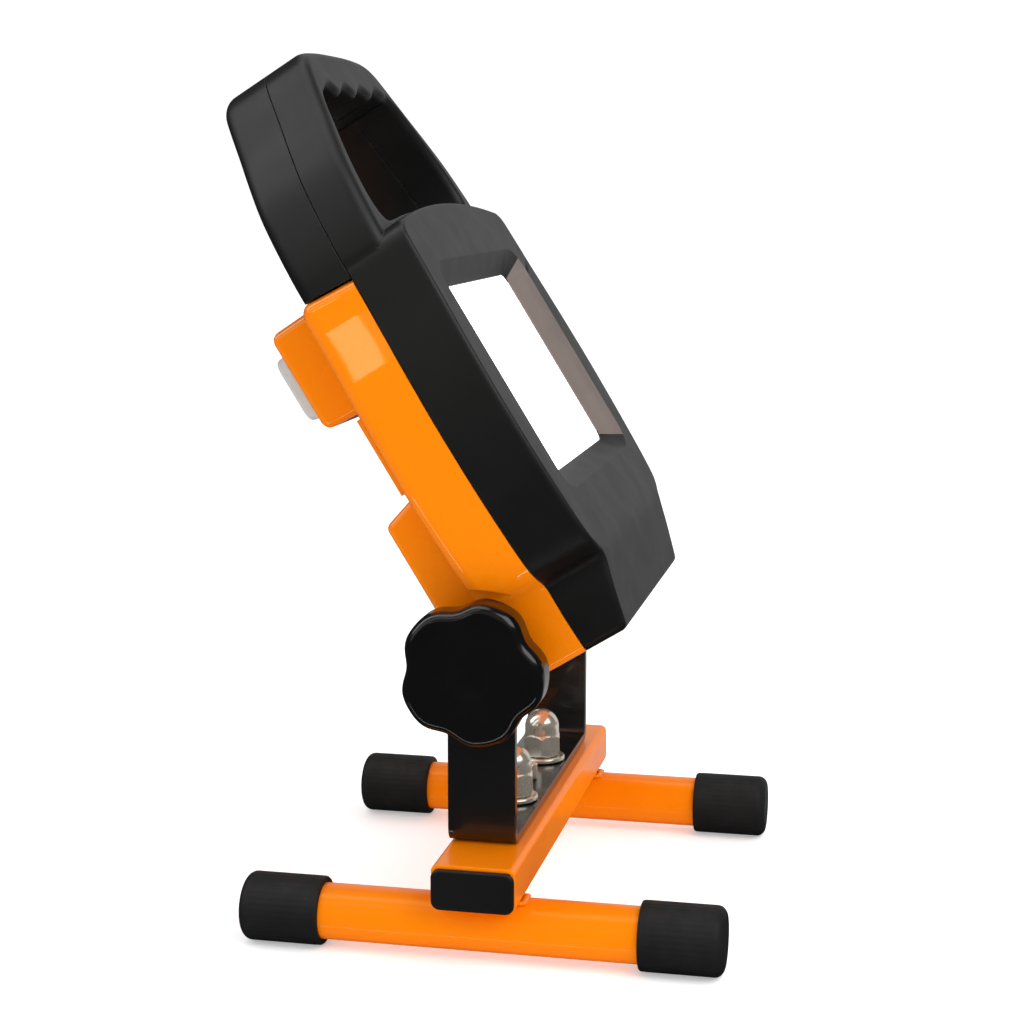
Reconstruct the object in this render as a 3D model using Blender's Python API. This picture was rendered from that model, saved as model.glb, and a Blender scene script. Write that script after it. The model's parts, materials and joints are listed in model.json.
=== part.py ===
"""Rechargeable LED work light: a tilting lamp head with a carrying handle, held by two star knobs in a
U-bracket on an H-shaped tube stand.

World frame: +Z up, the floor at Z = 0, the lamp shines towards -Y and the tilt axis runs along X.
Head frame: x along the tilt axis, y up the head, z out of its front face; the tilt axis is at its origin.
Every size is in millimetres; make_object turns them into metres.
"""
import math

import bmesh
import bpy
from mathutils import Matrix, Vector

MM = 0.001
GAP = 0.3                      # clearance between pieces that touch
SIDES = (("left", -1), ("right", 1))

# Stand
TUBE_R = 9.4
TUBE_WALL = 1.2
TUBE_X = 72.2                  # foot tubes, left and right of the middle
CAP_R = 11.5
CAP_LENGTH = 27.6
CAP_END = 3.0                  # thickness of the cap's closed end
FOOT_LENGTH = 161.8            # over both caps
FOOT_Y = -7.9                  # puts the whole light's middle over the origin
AXIS_Z = CAP_R                 # the tubes' height above the floor
BAR_WIDTH = 27.6
BAR_HEIGHT = 14.8
BAR_WALL = 1.5
BAR_LENGTH = 176.0
BAR_Y = FOOT_Y - 1.0
PLUG_FACE_X = 89.6
PLUG_DROP = 0.6                # the plugs sit a little low
PLUG_DEPTH = 14.0
BAR_Z = AXIS_Z + TUBE_R + GAP + BAR_HEIGHT / 2
BAR_TOP = BAR_Z + BAR_HEIGHT / 2

# Bracket and its fasteners
STRIP_WIDTH = 22.8
STRIP_THICK = 3.0
ARM_X = 66.5                   # outer faces of the bracket's arms
BRACKET_BEND = 5.0
BRACKET_Y = FOOT_Y + 1.0
STRIP_Z = BAR_TOP + GAP
STRIP_TOP = STRIP_Z + STRIP_THICK
PIVOT_Z = 97.3
BOLT_X = 25.0
BOLT_R = 4.0
BOLT_HOLE_R = 4.4
HEX_M8 = 13.0                  # across flats
MID_SCREW_X = 0.0

# Head
TILT_BACK = 31.7               # degrees, as stored
SEAM_Z = 31.1                  # plane between the black front and the orange rear
FRONT_Z = 54.05
HOUSING_REAR_Z = 9.3
HANDLE_REAR_Z = 12.2
HANDLE_FRONT_Z = 47.0
LOWER_Y = -13.8                # bottom edge of the head
CORNER_R = 3.0
CHIN_Y = 13.0                  # below this the front face slopes back
CHIN_SLOPE = 0.275
BEZEL_WALL = 3.0
HOUSING_WALL = 2.6
SIDE = [(61.2, LOWER_Y + CORNER_R), (62.6, 0.0), (62.8, 10.5), (66.6, 14.4), (70.6, 19.5), (73.6, 32.0),
        (76.0, 52.0), (76.8, 72.0), (75.8, 92.0), (73.8, 112.0), (72.4, 128.0)]
HANDLE_SIDE = [(71.6, 138.0), (69.4, 149.0), (65.6, 161.0), (59.4, 172.0), (51.4, 184.0), (43.6, 196.0),
               (39.0, 201.0), (31.0, 204.2), (16.0, 205.4), (0.0, 205.6)]
HOLE_SIDE = [(50.0, 139.4), (56.5, 141.0), (59.0, 146.0), (57.6, 155.0), (53.8, 165.0), (48.8, 174.0),
             (44.4, 182.0), (39.6, 187.0)]
GROOVE_PITCH = 19.0            # finger grooves under the grip
GROOVE_DEPTH = 3.0
CROWN_Y = 140.5                # top of the raised front face, at the middle
CROWN_DROP = 6.6               # how much lower it is at the sides

# Window and light
WINDOW_Y = 76.4                # centre of the window
WINDOW_OUTER = (121.0, 86.0)
WINDOW_INNER = (100.0, 71.0)
WINDOW_Z = 48.2                # bottom of the sloping frame
GLASS = (108.0, 79.0)
GLASS_THICK = 3.0

# Rear boxes
SWITCH_BOX_X = 52.0
SWITCH_BOX_Y = (91.8, 127.9)
SWITCH_BOX_Z = -9.9
BATTERY_BOX_X = 60.5
BATTERY_BOX_TOP = 58.6
BATTERY_BOX_Z = -6.4
BATTERY_WALL = 1.5
BOX_JOIN_Z = HOUSING_REAR_Z - GAP
BOX_WALL = 2.2
SWITCH_X = -33.0
SWITCH_Y = 109.0
SWITCH_SIZE = (26.0, 24.6)
PORT_X = 33.0
PORT_R = 5.0
FIN_TIP_Z = 1.2
FIN_PITCH = 10.0
CELL_R = 9.15
CELL_LENGTH = 65.0

# Knobs
KNOB_R = 24.0
KNOB_DIP = 2.7
KNOB_LOBES = 5
KNOB_TURN = 184.0              # degrees about the tilt axis, as stored
KNOB_FACE_X = 84.0
KNOB_BACK_X = 70.5
HUB_R = 9.0
WASHER_THICK = 1.7
STUD_R = 3.0
PIVOT_HOLE_R = 3.4
INSERT_R = 4.6

# Screws: kind, x, y and the face they are sunk into
SCREW_R = 3.0
SCREW_SINK = 1.6
SCREWS = (("case_screw", -64, 40, HOUSING_REAR_Z), ("case_screw", 64, 40, HOUSING_REAR_Z),
          ("case_screw", -64, 118, HOUSING_REAR_Z), ("case_screw", 64, 118, HOUSING_REAR_Z),
          ("handle_screw", -65, 140, HANDLE_REAR_Z), ("handle_screw", 65, 140, HANDLE_REAR_Z),
          ("battery_screw", -51, 47, BATTERY_BOX_Z), ("battery_screw", 51, 47, BATTERY_BOX_Z))

ORANGE = ("orange_paint", (1.0, 0.30, 0.004), 0.22, 0.0)
CASTING = ("orange_casting", (1.0, 0.30, 0.004), 0.22, 0.0)
BLACK_PLASTIC = ("black_plastic", (0.020, 0.020, 0.022), 0.5, 0.0)
KNOB_PLASTIC = ("knob_plastic", (0.015, 0.015, 0.016), 0.15, 0.0)
BLACK_PAINT = ("black_paint", (0.012, 0.012, 0.013), 0.2, 0.0)
BLACK_RUBBER = ("black_rubber", (0.022, 0.022, 0.024), 0.75, 0.0)
GREY_BOOT = ("grey_boot", (0.55, 0.54, 0.52), 0.5, 0.0)
ZINC = ("zinc_steel", (0.78, 0.75, 0.66), 0.25, 1.0)
BRASS = ("brass", (0.75, 0.55, 0.22), 0.3, 1.0)
ALUMINIUM = ("aluminium", (0.82, 0.82, 0.83), 0.35, 1.0)
CLEAR = ("window_glass", (0.95, 0.97, 1.0), 0.05, 0.0)
PHOSPHOR = ("led_phosphor", (0.95, 0.85, 0.25), 0.5, 0.0)
GREEN_BOARD = ("green_board", (0.03, 0.22, 0.08), 0.45, 0.0)
CELL_WRAP = ("cell_wrap", (0.05, 0.25, 0.55), 0.4, 0.0)


# ---------------------------------------------------------------- mesh helpers

def material(look):
    """A Principled material from (name, colour, roughness, metallic), made once."""
    name, colour, roughness, metallic = look
    mat = bpy.data.materials.get(name)
    if mat is None:
        mat = bpy.data.materials.new(name)
        mat.use_nodes = True
        shader = mat.node_tree.nodes["Principled BSDF"]
        shader.inputs["Base Color"].default_value = (*colour, 1.0)
        shader.inputs["Roughness"].default_value = roughness
        shader.inputs["Metallic"].default_value = metallic
    return mat


def make_object(name, bm, look=None, parent=None, angle=32.0):
    """An object in metres from a mesh in millimetres, with its faces pointing out."""
    bmesh.ops.remove_doubles(bm, verts=bm.verts, dist=0.001)
    bmesh.ops.scale(bm, vec=(MM, MM, MM), verts=bm.verts)
    bmesh.ops.recalc_face_normals(bm, faces=bm.faces)
    mesh = bpy.data.meshes.new(name)
    bm.to_mesh(mesh)
    bm.free()
    mesh.shade_smooth()
    mesh.set_sharp_from_angle(angle=math.radians(angle))
    obj = bpy.data.objects.new(name, mesh)
    bpy.context.scene.collection.objects.link(obj)
    obj.parent = parent
    if look:
        mesh.materials.append(material(look))
    else:
        obj.hide_render = True
        obj.display_type = "WIRE"
    return obj


def combine(obj, *tools, operation="DIFFERENCE"):
    """Boolean the hidden tools into obj, one after another."""
    for tool in tools:
        modifier = obj.modifiers.new(tool.name, "BOOLEAN")
        modifier.operation = operation
        modifier.solver = "EXACT"
        modifier.object = tool
    return obj


def loft(rings):
    """A closed body through rings of the same number of points, with a flat cap at each end."""
    bm = bmesh.new()
    loops = [[bm.verts.new(point) for point in ring] for ring in rings]
    count = len(loops[0])
    for low, high in zip(loops, loops[1:]):
        for i in range(count):
            j = (i + 1) % count
            bm.faces.new((low[i], low[j], high[j], high[i]))
    bm.faces.new(loops[0][::-1])
    bm.faces.new(loops[-1])
    return bm


def prism(outline, low, high):
    """An outline in the XY plane, drawn out from Z = low to Z = high."""
    return loft([[(x, y, z) for x, y in outline] for z in (low, high)])


def prism_x(outline, low, high):
    """An outline of (y, z) points, drawn out along X."""
    return loft([[(x, y, z) for y, z in outline] for x in (low, high)])


def prism_y(outline, low, high):
    """An outline of (x, z) points, drawn out along Y."""
    return loft([[(x, y, z) for x, z in outline] for y in (low, high)])


def block(low, high):
    """A box between two corners."""
    return prism(rectangle(low[0], low[1], high[0], high[1]), low[2], high[2])


def sorted_corners(a, b):
    """The low and the high corner of the box between any two opposite corners."""
    return tuple(map(min, a, b)), tuple(map(max, a, b))


def turned(profile, segments, axis="Z", centre=(0, 0, 0), phase=0.5):
    """A closed profile of (radius, height) points turned about an axis through centre."""
    bm = bmesh.new()
    start = math.pi * 2 * phase / segments
    verts = [bm.verts.new((r * math.cos(start), r * math.sin(start), h)) for r, h in profile]
    edges = [bm.edges.new((a, b)) for a, b in zip(verts, verts[1:] + verts[:1])
             if not (abs(a.co.xy.length) < 1e-6 and abs(b.co.xy.length) < 1e-6)]
    bmesh.ops.spin(bm, geom=verts + edges, cent=(0, 0, 0), axis=(0, 0, 1), angle=math.tau,
                   steps=segments, use_merge=True)
    bmesh.ops.remove_doubles(bm, verts=bm.verts, dist=0.001)
    turn = {"X": Matrix.Rotation(math.pi / 2, 4, "Y"), "Y": Matrix.Rotation(-math.pi / 2, 4, "X"),
            "Z": Matrix.Identity(4)}[axis]
    bmesh.ops.transform(bm, matrix=Matrix.Translation(centre) @ turn, verts=bm.verts)
    return bm


def rod(radius, low, high, segments, axis="Z", centre=(0, 0, 0)):
    """A plain cylinder along an axis from low to high."""
    return turned([(0, low), (radius, low), (radius, high), (0, high)], segments, axis, centre)


def ring(outer, inner, low, high, segments, axis="Z", centre=(0, 0, 0)):
    """A washer or a tube along an axis from low to high."""
    return turned([(inner, low), (outer, low), (outer, high), (inner, high)], segments, axis, centre)


# ---------------------------------------------------------------- outlines

def rectangle(x0, y0, x1, y1):
    return [(x0, y0), (x1, y0), (x1, y1), (x0, y1)]


def rounded_rectangle(width, height, radius, centre=(0, 0), steps=4):
    """A rectangle with round corners, as points round its middle."""
    points = []
    corners = ((1, 1, 0), (-1, 1, 90), (-1, -1, 180), (1, -1, 270))
    for sx, sy, first in corners:
        cx = centre[0] + sx * (width / 2 - radius)
        cy = centre[1] + sy * (height / 2 - radius)
        for k in range(steps + 1):
            a = math.radians(first + 90 * k / steps)
            points.append((cx + radius * math.cos(a), cy + radius * math.sin(a)))
    return points


def spline(points, steps):
    """Catmull-Rom curve through the points, with steps pieces between each pair."""
    line = [Vector(p) for p in points]
    line = [2 * line[0] - line[1]] + line + [2 * line[-1] - line[-2]]
    curve = []
    for a, b, c, d in zip(line, line[1:], line[2:], line[3:]):
        for k in range(steps):
            t = k / steps
            p = 0.5 * (2 * b + (c - a) * t + (2 * a - 5 * b + 4 * c - d) * t ** 2
                       + (3 * b - a - 3 * c + d) * t ** 3)
            curve.append((p.x, p.y))
    curve.append(tuple(points[-1]))
    return curve


def mirrored(right):
    """Closes a right-hand side, listed from the bottom up, with its mirror image."""
    left = [(-x, y) for x, y in reversed(right) if x > 1e-6]
    return right + left


def inset(outline, distance):
    """Moves a counter-clockwise outline inwards, each point along its two edges' mean normal."""
    result = []
    count = len(outline)
    for i in range(count):
        before, here, after = (Vector(outline[j % count]) for j in (i - 1, i, i + 1))
        first = (here - before).normalized()
        second = (after - here).normalized()
        normal = Vector((-first.y - second.y, first.x + second.x)).normalized()
        stretch = 1 / max(0.6, normal.dot(Vector((-first.y, first.x))))
        result.append(tuple(here + normal * distance * stretch))
    return result


def shrink(outline, distance):
    """Scales an outline about its middle, so that each of its four sides moves in by distance."""
    xs, ys = zip(*outline)
    middle = (min(ys) + max(ys)) / 2
    wide = 1 - distance / max(xs)
    high = 1 - distance / (max(ys) - middle)
    return [(x * wide, middle + (y - middle) * high) for x, y in outline]


def bottom_corner():
    """The round lower corner of the head, from the flat bottom to the side."""
    x, y = SIDE[0]
    return [(x - CORNER_R * (1 - math.cos(a)), y - CORNER_R * math.sin(a))
            for a in (math.radians(90 - 22.5 * k) for k in range(4))]


def housing_top(z):
    """Height of the housing's sloping top edge at depth z."""
    return 128.6 - 0.07 * (z - HOUSING_REAR_Z)


def body_outline(top):
    """The head without its handle: the sides end at a flat top with small round corners."""
    side = [p for p in spline(SIDE, 2) if p[1] < 112.5]
    corner = [(73.0, top - 4.0), (72.4, top - 1.6), (71.2, top - 0.4), (69.6, top)]
    return mirrored(bottom_corner() + side + corner)


def pocket_outline(top, wall):
    """The space inside the head's wall, with square corners."""
    side = [p for p in spline(SIDE, 2) if p[1] < 112.5]
    return inset(mirrored([(SIDE[0][0], LOWER_Y)] + side + [(72.8, top)]), wall)


def hand_hole():
    """The hole that the hand goes through, with finger grooves along its upper edge."""
    side = spline(HOLE_SIDE, 2)
    half = HOLE_SIDE[-1][0]
    grooves = []
    for k in range(1, 13):
        x = half * (1 - k / 13)
        wave = GROOVE_DEPTH * (1 + math.cos(math.tau * (x / GROOVE_PITCH + 0.5))) / 2
        grooves.append((x, HOLE_SIDE[-1][1] + 0.6 + wave))
    floor = [(0.0, crown(0.0) + 1.0), (26.0, crown(26.0) + 1.0)]
    return mirrored_closed(floor + side + grooves + [(0.0, HOLE_SIDE[-1][1] + 0.6)])


def flared_hole(z, by):
    """The hand hole's outline at depth z, widened by some millimetres everywhere but along its floor."""
    return [(x, max(y, crown(x) + 1.0), z) for x, y in inset(hand_hole(), -by)]


def mirrored_closed(right):
    """Like mirrored, for a side whose first and last points lie on the middle line."""
    return right + [(-x, y) for x, y in reversed(right[1:-1])]


def crown(x):
    """Height of the raised front face's upper edge."""
    return CROWN_Y - CROWN_DROP * (x / 75.0) ** 2


# ---------------------------------------------------------------- stand

def make_stand():
    half_bar = BAR_LENGTH / 2
    bar_shape = rounded_rectangle(BAR_WIDTH, BAR_HEIGHT, 2.2, (0, 0), 3)
    bar = make_object("crossbar", loft([[(x, y + BAR_Y, z + BAR_Z) for y, z in bar_shape]
                                        for x in (-half_bar, half_bar)]), ORANGE)
    bore = rounded_rectangle(BAR_WIDTH - 2 * BAR_WALL, BAR_HEIGHT - 2 * BAR_WALL, 0.8, (0, 0), 1)
    hollow = make_object("crossbar_bore", loft([[(x, y + BAR_Y, z + BAR_Z) for y, z in bore]
                                                for x in (-half_bar - 1, half_bar + 1)]))
    holes = [make_object(f"bolt_hole_{side}", rod(BOLT_HOLE_R, BAR_Z - BAR_HEIGHT, BAR_TOP + 1, 16,
                                                  centre=(sx * BOLT_X, BAR_Y, 0)))
             for side, sx in SIDES]
    combine(bar, hollow, *holes)

    for side, sx in SIDES:
        make_plug(f"crossbar_plug_{side}", sx)
        make_foot(side, sx * TUBE_X)


def make_plug(name, sx):
    """A push-in plug: a flange over the bar's end and a spigot inside it."""
    face = PLUG_FACE_X
    seat = BAR_LENGTH / 2 + GAP
    flange = rounded_rectangle(BAR_WIDTH - 0.2, BAR_HEIGHT - 2 * PLUG_DROP, 2.2, (0, -PLUG_DROP), 3)
    spigot = inset(rounded_rectangle(BAR_WIDTH - 2 * BAR_WALL, BAR_HEIGHT - 2 * BAR_WALL, 2.2, (0, 0), 3), GAP)
    rings = []
    for outline, x in ((inset(flange, 0.6), face), (flange, face - 0.5), (flange, seat),
                       (spigot, seat), (spigot, face - PLUG_DEPTH)):
        rings.append([(sx * x, y + BAR_Y, z + BAR_Z) for y, z in outline])
    make_object(name, loft(rings), BLACK_PLASTIC)


def make_foot(side, x):
    """A foot tube with a rubber cap on each end."""
    half = FOOT_LENGTH / 2
    inner = half - CAP_END - GAP
    make_object(f"foot_tube_{side}",
                ring(TUBE_R, TUBE_R - TUBE_WALL, -inner, inner, 32, "Y", (x, FOOT_Y, AXIS_Z)), ORANGE)
    flat_r = CAP_R / math.cos(math.pi / 24)
    bore = TUBE_R + GAP
    mouth = half - CAP_LENGTH
    profile = [(0, half), (flat_r - 3.2, half), (flat_r - 1.0, half - 0.9), (flat_r, half - 3.2),
               (flat_r, mouth + 0.8), (flat_r - 0.6, mouth), (bore, mouth), (bore, half - CAP_END),
               (0, half - CAP_END)]
    for end, turn in (("front", -1), ("rear", 1)):
        points = [(r, turn * h) for r, h in profile]
        make_object(f"foot_cap_{side}_{end}", turned(points, 24, "Y", (x, FOOT_Y, AXIS_Z)), BLACK_RUBBER)


def make_bracket():
    """A flat strip bent to a U, with round arm ends, pivot holes and bolt holes."""
    top = PIVOT_Z + STRIP_WIDTH / 2
    inner_r = BRACKET_BEND - STRIP_THICK
    right = [(ARM_X - BRACKET_BEND + BRACKET_BEND * math.sin(a), STRIP_Z + BRACKET_BEND * (1 - math.cos(a)))
             for a in (math.radians(18 * k) for k in range(6))]
    inside = [(ARM_X - BRACKET_BEND + inner_r * math.sin(a), STRIP_Z + BRACKET_BEND - inner_r * math.cos(a))
              for a in (math.radians(90 - 18 * k) for k in range(6))]
    half = right + [(ARM_X, top), (ARM_X - STRIP_THICK, top)] + inside
    outline = half + [(-x, z) for x, z in reversed(half)]
    bm = prism_y(outline, BRACKET_Y - STRIP_WIDTH / 2, BRACKET_Y + STRIP_WIDTH / 2)
    tips = [e for e in bm.edges if all(abs(v.co.z - top) < 0.01 for v in e.verts)
            and abs(e.verts[0].co.y - e.verts[1].co.y) < 0.01]
    bmesh.ops.bevel(bm, geom=tips, offset=STRIP_WIDTH / 2 - 0.1, segments=8, profile=0.5, affect="EDGES")
    bracket = make_object("bracket", bm, BLACK_PAINT)
    pivot = make_object("pivot_hole", rod(PIVOT_HOLE_R, -ARM_X - 2, ARM_X + 2, 20, "X", (0, BRACKET_Y, PIVOT_Z)))
    holes = [make_object(f"strip_hole_{side}", rod(BOLT_HOLE_R, STRIP_Z - 1, STRIP_TOP + 1, 16,
                                                   centre=(sx * BOLT_X, BAR_Y, 0))) for side, sx in SIDES]
    combine(bracket, pivot, *holes)


def hexagon(across_flats, centre=(0, 0), turn=0.0):
    radius = across_flats / math.sqrt(3)
    return [(centre[0] + radius * math.cos(math.radians(60 * k + turn)),
             centre[1] + radius * math.sin(math.radians(60 * k + turn))) for k in range(6)]


def make_fasteners():
    """Two bolts up through the bar and the bracket, each with a washer and a dome nut."""
    washer_z = STRIP_TOP + GAP
    nut_z = washer_z + 1.6 + GAP
    bolt_top = nut_z + 11
    head_top = BAR_Z - BAR_HEIGHT / 2 - GAP
    for side, sx in SIDES:
        spot = (sx * BOLT_X, BAR_Y, 0)
        bolt = make_object(f"base_bolt_{side}", prism(hexagon(HEX_M8, spot[:2]), head_top - 5.3, head_top), ZINC)
        shank = make_object(f"base_bolt_shank_{side}", rod(BOLT_R, head_top - 2, bolt_top, 16, centre=spot))
        combine(bolt, shank, operation="UNION")
        make_object(f"base_washer_{side}",
                    ring(8.5, BOLT_HOLE_R, washer_z, washer_z + 1.6, 24, centre=spot), ZINC)
        make_dome_nut(f"dome_nut_{side}", spot, nut_z)
    spot = (MID_SCREW_X, BAR_Y, 0)
    head = [(0, washer_z), (3.3, washer_z), (3.3, washer_z + 4.9), (2.6, washer_z + 5.6), (0, washer_z + 5.6)]
    make_object("bracket_screw", turned(head, 20, centre=spot), ZINC)


def make_dome_nut(name, spot, z):
    """A hexagon with a round cap on it, open below for the bolt."""
    nut = make_object(name, prism(hexagon(HEX_M8, spot[:2], 10.0), z, z + 8), ZINC)
    dome_r = 6.3
    base = z + 17 - dome_r
    dome = [(0, z + 4), (dome_r, z + 4), (dome_r, base)]
    dome += [(dome_r * math.cos(a), base + dome_r * math.sin(a)) for a in (math.radians(18 * k) for k in range(1, 5))]
    dome.append((0, z + 17))
    cap = make_object(f"{name}_cap", turned(dome, 20, centre=spot))
    bore = make_object(f"{name}_bore", rod(BOLT_R + GAP, z - 1, z + 12, 16, centre=spot))
    combine(nut, cap, operation="UNION")
    combine(nut, bore)


# ---------------------------------------------------------------- head shells

def make_front_bezel(head):
    """The black front shell: a raised face round the window, with the front half of the handle above it."""
    top = [(71.8, 131.0), (70.2, 133.6)] + [(x, crown(x)) for x in (67.0, 58.0, 44.0, 30.0, 15.0, 0.0)]
    face = mirrored(bottom_corner() + spline(SIDE, 2) + top)
    levels = ((SEAM_Z + GAP / 2, 0.0), (51.6, 0.0), (53.2, 0.5), (FRONT_Z, 1.4))
    bezel = make_object("front_bezel", loft([[(x, y, z) for x, y in inset(face, by)] for z, by in levels]),
                        BLACK_PLASTIC, head)
    arch = mirrored([(70.5, 116.0), (71.3, 128.0)] + [p for p in spline(SIDE + HANDLE_SIDE, 2) if p[1] > 134.0])
    levels = ((SEAM_Z + GAP / 2, 0.0), (HANDLE_FRONT_Z - 3.4, 0.0), (HANDLE_FRONT_Z - 1.6, 0.6),
              (HANDLE_FRONT_Z - 0.5, 1.6), (HANDLE_FRONT_Z, 3.0))
    handle = make_object("handle_front", loft([[(x, y, z) for x, y in inset(arch, by)] for z, by in levels]),
                         None, head)

    drop = CHIN_SLOPE * (CHIN_Y - LOWER_Y + 10)
    wedge = [(CHIN_Y, FRONT_Z), (CHIN_Y, FRONT_Z + 6), (LOWER_Y - 10, FRONT_Z + 6), (LOWER_Y - 10, FRONT_Z - drop)]
    chin = make_object("chin_slope", prism_x(wedge, -90, 90), None, head)

    middle = (0, WINDOW_Y)
    funnel_rings = []
    for (width, height), radius, z in ((WINDOW_INNER, 4, WINDOW_Z - 4), (WINDOW_INNER, 4, WINDOW_Z),
                                       (WINDOW_OUTER, 10, FRONT_Z), (WINDOW_OUTER, 10, FRONT_Z + 2)):
        funnel_rings.append([(x, y, z) for x, y in rounded_rectangle(width, height, radius, middle)])
    funnel = make_object("window_funnel", loft(funnel_rings), None, head)

    glass_seat_z = WINDOW_Z - 0.2
    seat = make_object("glass_seat", prism(rounded_rectangle(GLASS[0] + 0.6, GLASS[1] + 0.6, 4, middle),
                                           SEAM_Z - 1, glass_seat_z), None, head)
    inside = pocket_outline(132.0, BEZEL_WALL)
    pocket = make_object("bezel_pocket", prism(inside, SEAM_Z - 1, 43.0), None, head)
    around = make_object("bezel_moat", prism(inside, 40.0, FRONT_Z - 3.6), None, head)
    keep = make_object("bezel_moat_core", prism(
        rounded_rectangle(WINDOW_OUTER[0] + 2, WINDOW_OUTER[1] + 2, 8, middle), 38.0, FRONT_Z), None, head)
    chin_keep = make_object("bezel_moat_chin", block((-80, LOWER_Y - 5, 38), (80, CHIN_Y + 2.7, FRONT_Z)), None, head)
    combine(around, keep, chin_keep)
    levels = ((SEAM_Z - 5, 0.0), (HANDLE_FRONT_Z - 3.4, 0.0), (HANDLE_FRONT_Z - 1.4, 0.8),
              (HANDLE_FRONT_Z + 0.2, 2.6), (FRONT_Z + 5, 2.6))
    hole = make_object("hand_hole_front", loft([flared_hole(z, by) for z, by in levels]), None, head)
    hollow = handle_hollow("handle_hollow_front", SEAM_Z - 1, HANDLE_FRONT_Z - 3.8, head)
    combine(bezel, handle, operation="UNION")
    combine(bezel, chin, funnel, seat, pocket, around, hole, hollow)


def handle_hollow(name, low, high, head):
    """The space inside one half of the handle's grip and legs."""
    outer = inset(mirrored([p for p in spline(SIDE + HANDLE_SIDE, 2) if p[1] > 150.0]), 3.0)
    grip = make_object(name, prism(outer, low, high), None, head)
    core = make_object(f"{name}_core", prism(inset(hand_hole(), -3.0), low - 1, high + 1), None, head)
    return combine(grip, core)


def make_handle_rear(head):
    """The rear half of the handle; its lower edge follows the housing's sloping top."""
    side = [p for p in spline(SIDE + HANDLE_SIDE, 2) if p[1] > 133.0]
    levels = ((HANDLE_REAR_Z, 4.6), (HANDLE_REAR_Z + 0.9, 2.3), (HANDLE_REAR_Z + 2.8, 0.7),
              (HANDLE_REAR_Z + 5.4, 0.0), (SEAM_Z - GAP / 2, 0.0))
    rings = []
    for z, by in levels:
        low = housing_top(z) + GAP
        half = 72.2 - by
        outer = inset(mirrored([(72.2, low)] + side), by)
        rings.append([(x, y, z) for x, y in [(half, low)] + outer[1:-1] + [(-half, low)]])
    rear = make_object("handle_rear", loft(rings), BLACK_PLASTIC, head)
    levels = ((HANDLE_REAR_Z - 5, 2.6), (HANDLE_REAR_Z - 0.2, 2.6), (HANDLE_REAR_Z + 1.4, 0.8),
              (HANDLE_REAR_Z + 3.4, 0.0), (SEAM_Z + 5, 0.0))
    hole = make_object("hand_hole_rear", loft([flared_hole(z, by) for z, by in levels]), None, head)
    hollow = handle_hollow("handle_hollow_rear", HANDLE_REAR_Z + 3.8, SEAM_Z + 1, head)
    combine(rear, hole, hollow, *screw_pockets("handle_screw", head))


def make_housing(head):
    """The orange rear shell, open at the front, with room for the battery and the switch behind it."""
    levels = ((HOUSING_REAR_Z, 5.0), (HOUSING_REAR_Z + 0.7, 2.6), (HOUSING_REAR_Z + 2.6, 0.7),
              (HOUSING_REAR_Z + 5.2, 0.0), (SEAM_Z - GAP / 2, 0.0))
    shell = make_object("housing", loft([[(x, y, z) for x, y in shrink(body_outline(housing_top(z)), by)]
                                         for z, by in levels]), CASTING, head)
    pocket_levels = ((HOUSING_REAR_Z + HOUSING_WALL, HOUSING_WALL + 2.5), (HOUSING_REAR_Z + 5, HOUSING_WALL),
                     (SEAM_Z + 1, HOUSING_WALL))
    top = housing_top(SEAM_Z)
    pocket = make_object("housing_pocket", loft([[(x, y, z) for x, y in pocket_outline(top, wall)]
                                                 for z, wall in pocket_levels]), None, head)
    battery_hole = make_object("battery_opening", block((-54, -8, HOUSING_REAR_Z - 2), (54, 52, 14)), None, head)
    switch_hole = make_object("switch_opening", block((-47, 97, HOUSING_REAR_Z - 2), (47, 121, 14)), None, head)
    relief = [make_object(f"knob_relief_{side}", rod(KNOB_R + 1.5, sx * 76 - 9.2, sx * 76 + 9.2, 36, "X"), None, head)
              for side, sx in SIDES]
    combine(shell, pocket, battery_hole, switch_hole, *relief, *screw_pockets("case_screw", head))
    make_heat_sink(head)


def make_heat_sink(head):
    """A plate with upright cooling fins on the housing's rear face, between the two boxes."""
    base_z = BOX_JOIN_Z - 1.6
    count = 11
    width = 2.2
    points = [((count - 1) / 2 * FIN_PITCH + width, BOX_JOIN_Z), (-(count - 1) / 2 * FIN_PITCH - width, BOX_JOIN_Z)]
    for k in range(count):
        x = (k - (count - 1) / 2) * FIN_PITCH
        start = [(x - width, base_z)] if k == 0 else [(x - width / 2, base_z)]
        finish = [(x + width, base_z)] if k == count - 1 else [(x + width / 2, base_z)]
        points += start + [(x - width / 3, FIN_TIP_Z), (x + width / 3, FIN_TIP_Z)] + finish
    low = BATTERY_BOX_TOP + 1.6
    high = SWITCH_BOX_Y[0] - 2.6
    make_object("heat_sink", prism_y(points, low, high), CASTING, head)


def soft_box(name, outline, half, look, head, round_by=3.0):
    """A box drawn out along x from a (y, z) outline, with its rear and side edges rounded."""
    bm = prism_x(outline, -half, half)
    edges = [e for e in bm.edges if not all(v.co.z > BOX_JOIN_Z - 0.01 for v in e.verts)]
    bmesh.ops.bevel(bm, geom=edges, offset=round_by, segments=3, profile=0.5, affect="EDGES", clamp_overlap=True)
    return make_object(name, bm, look, head)


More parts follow.
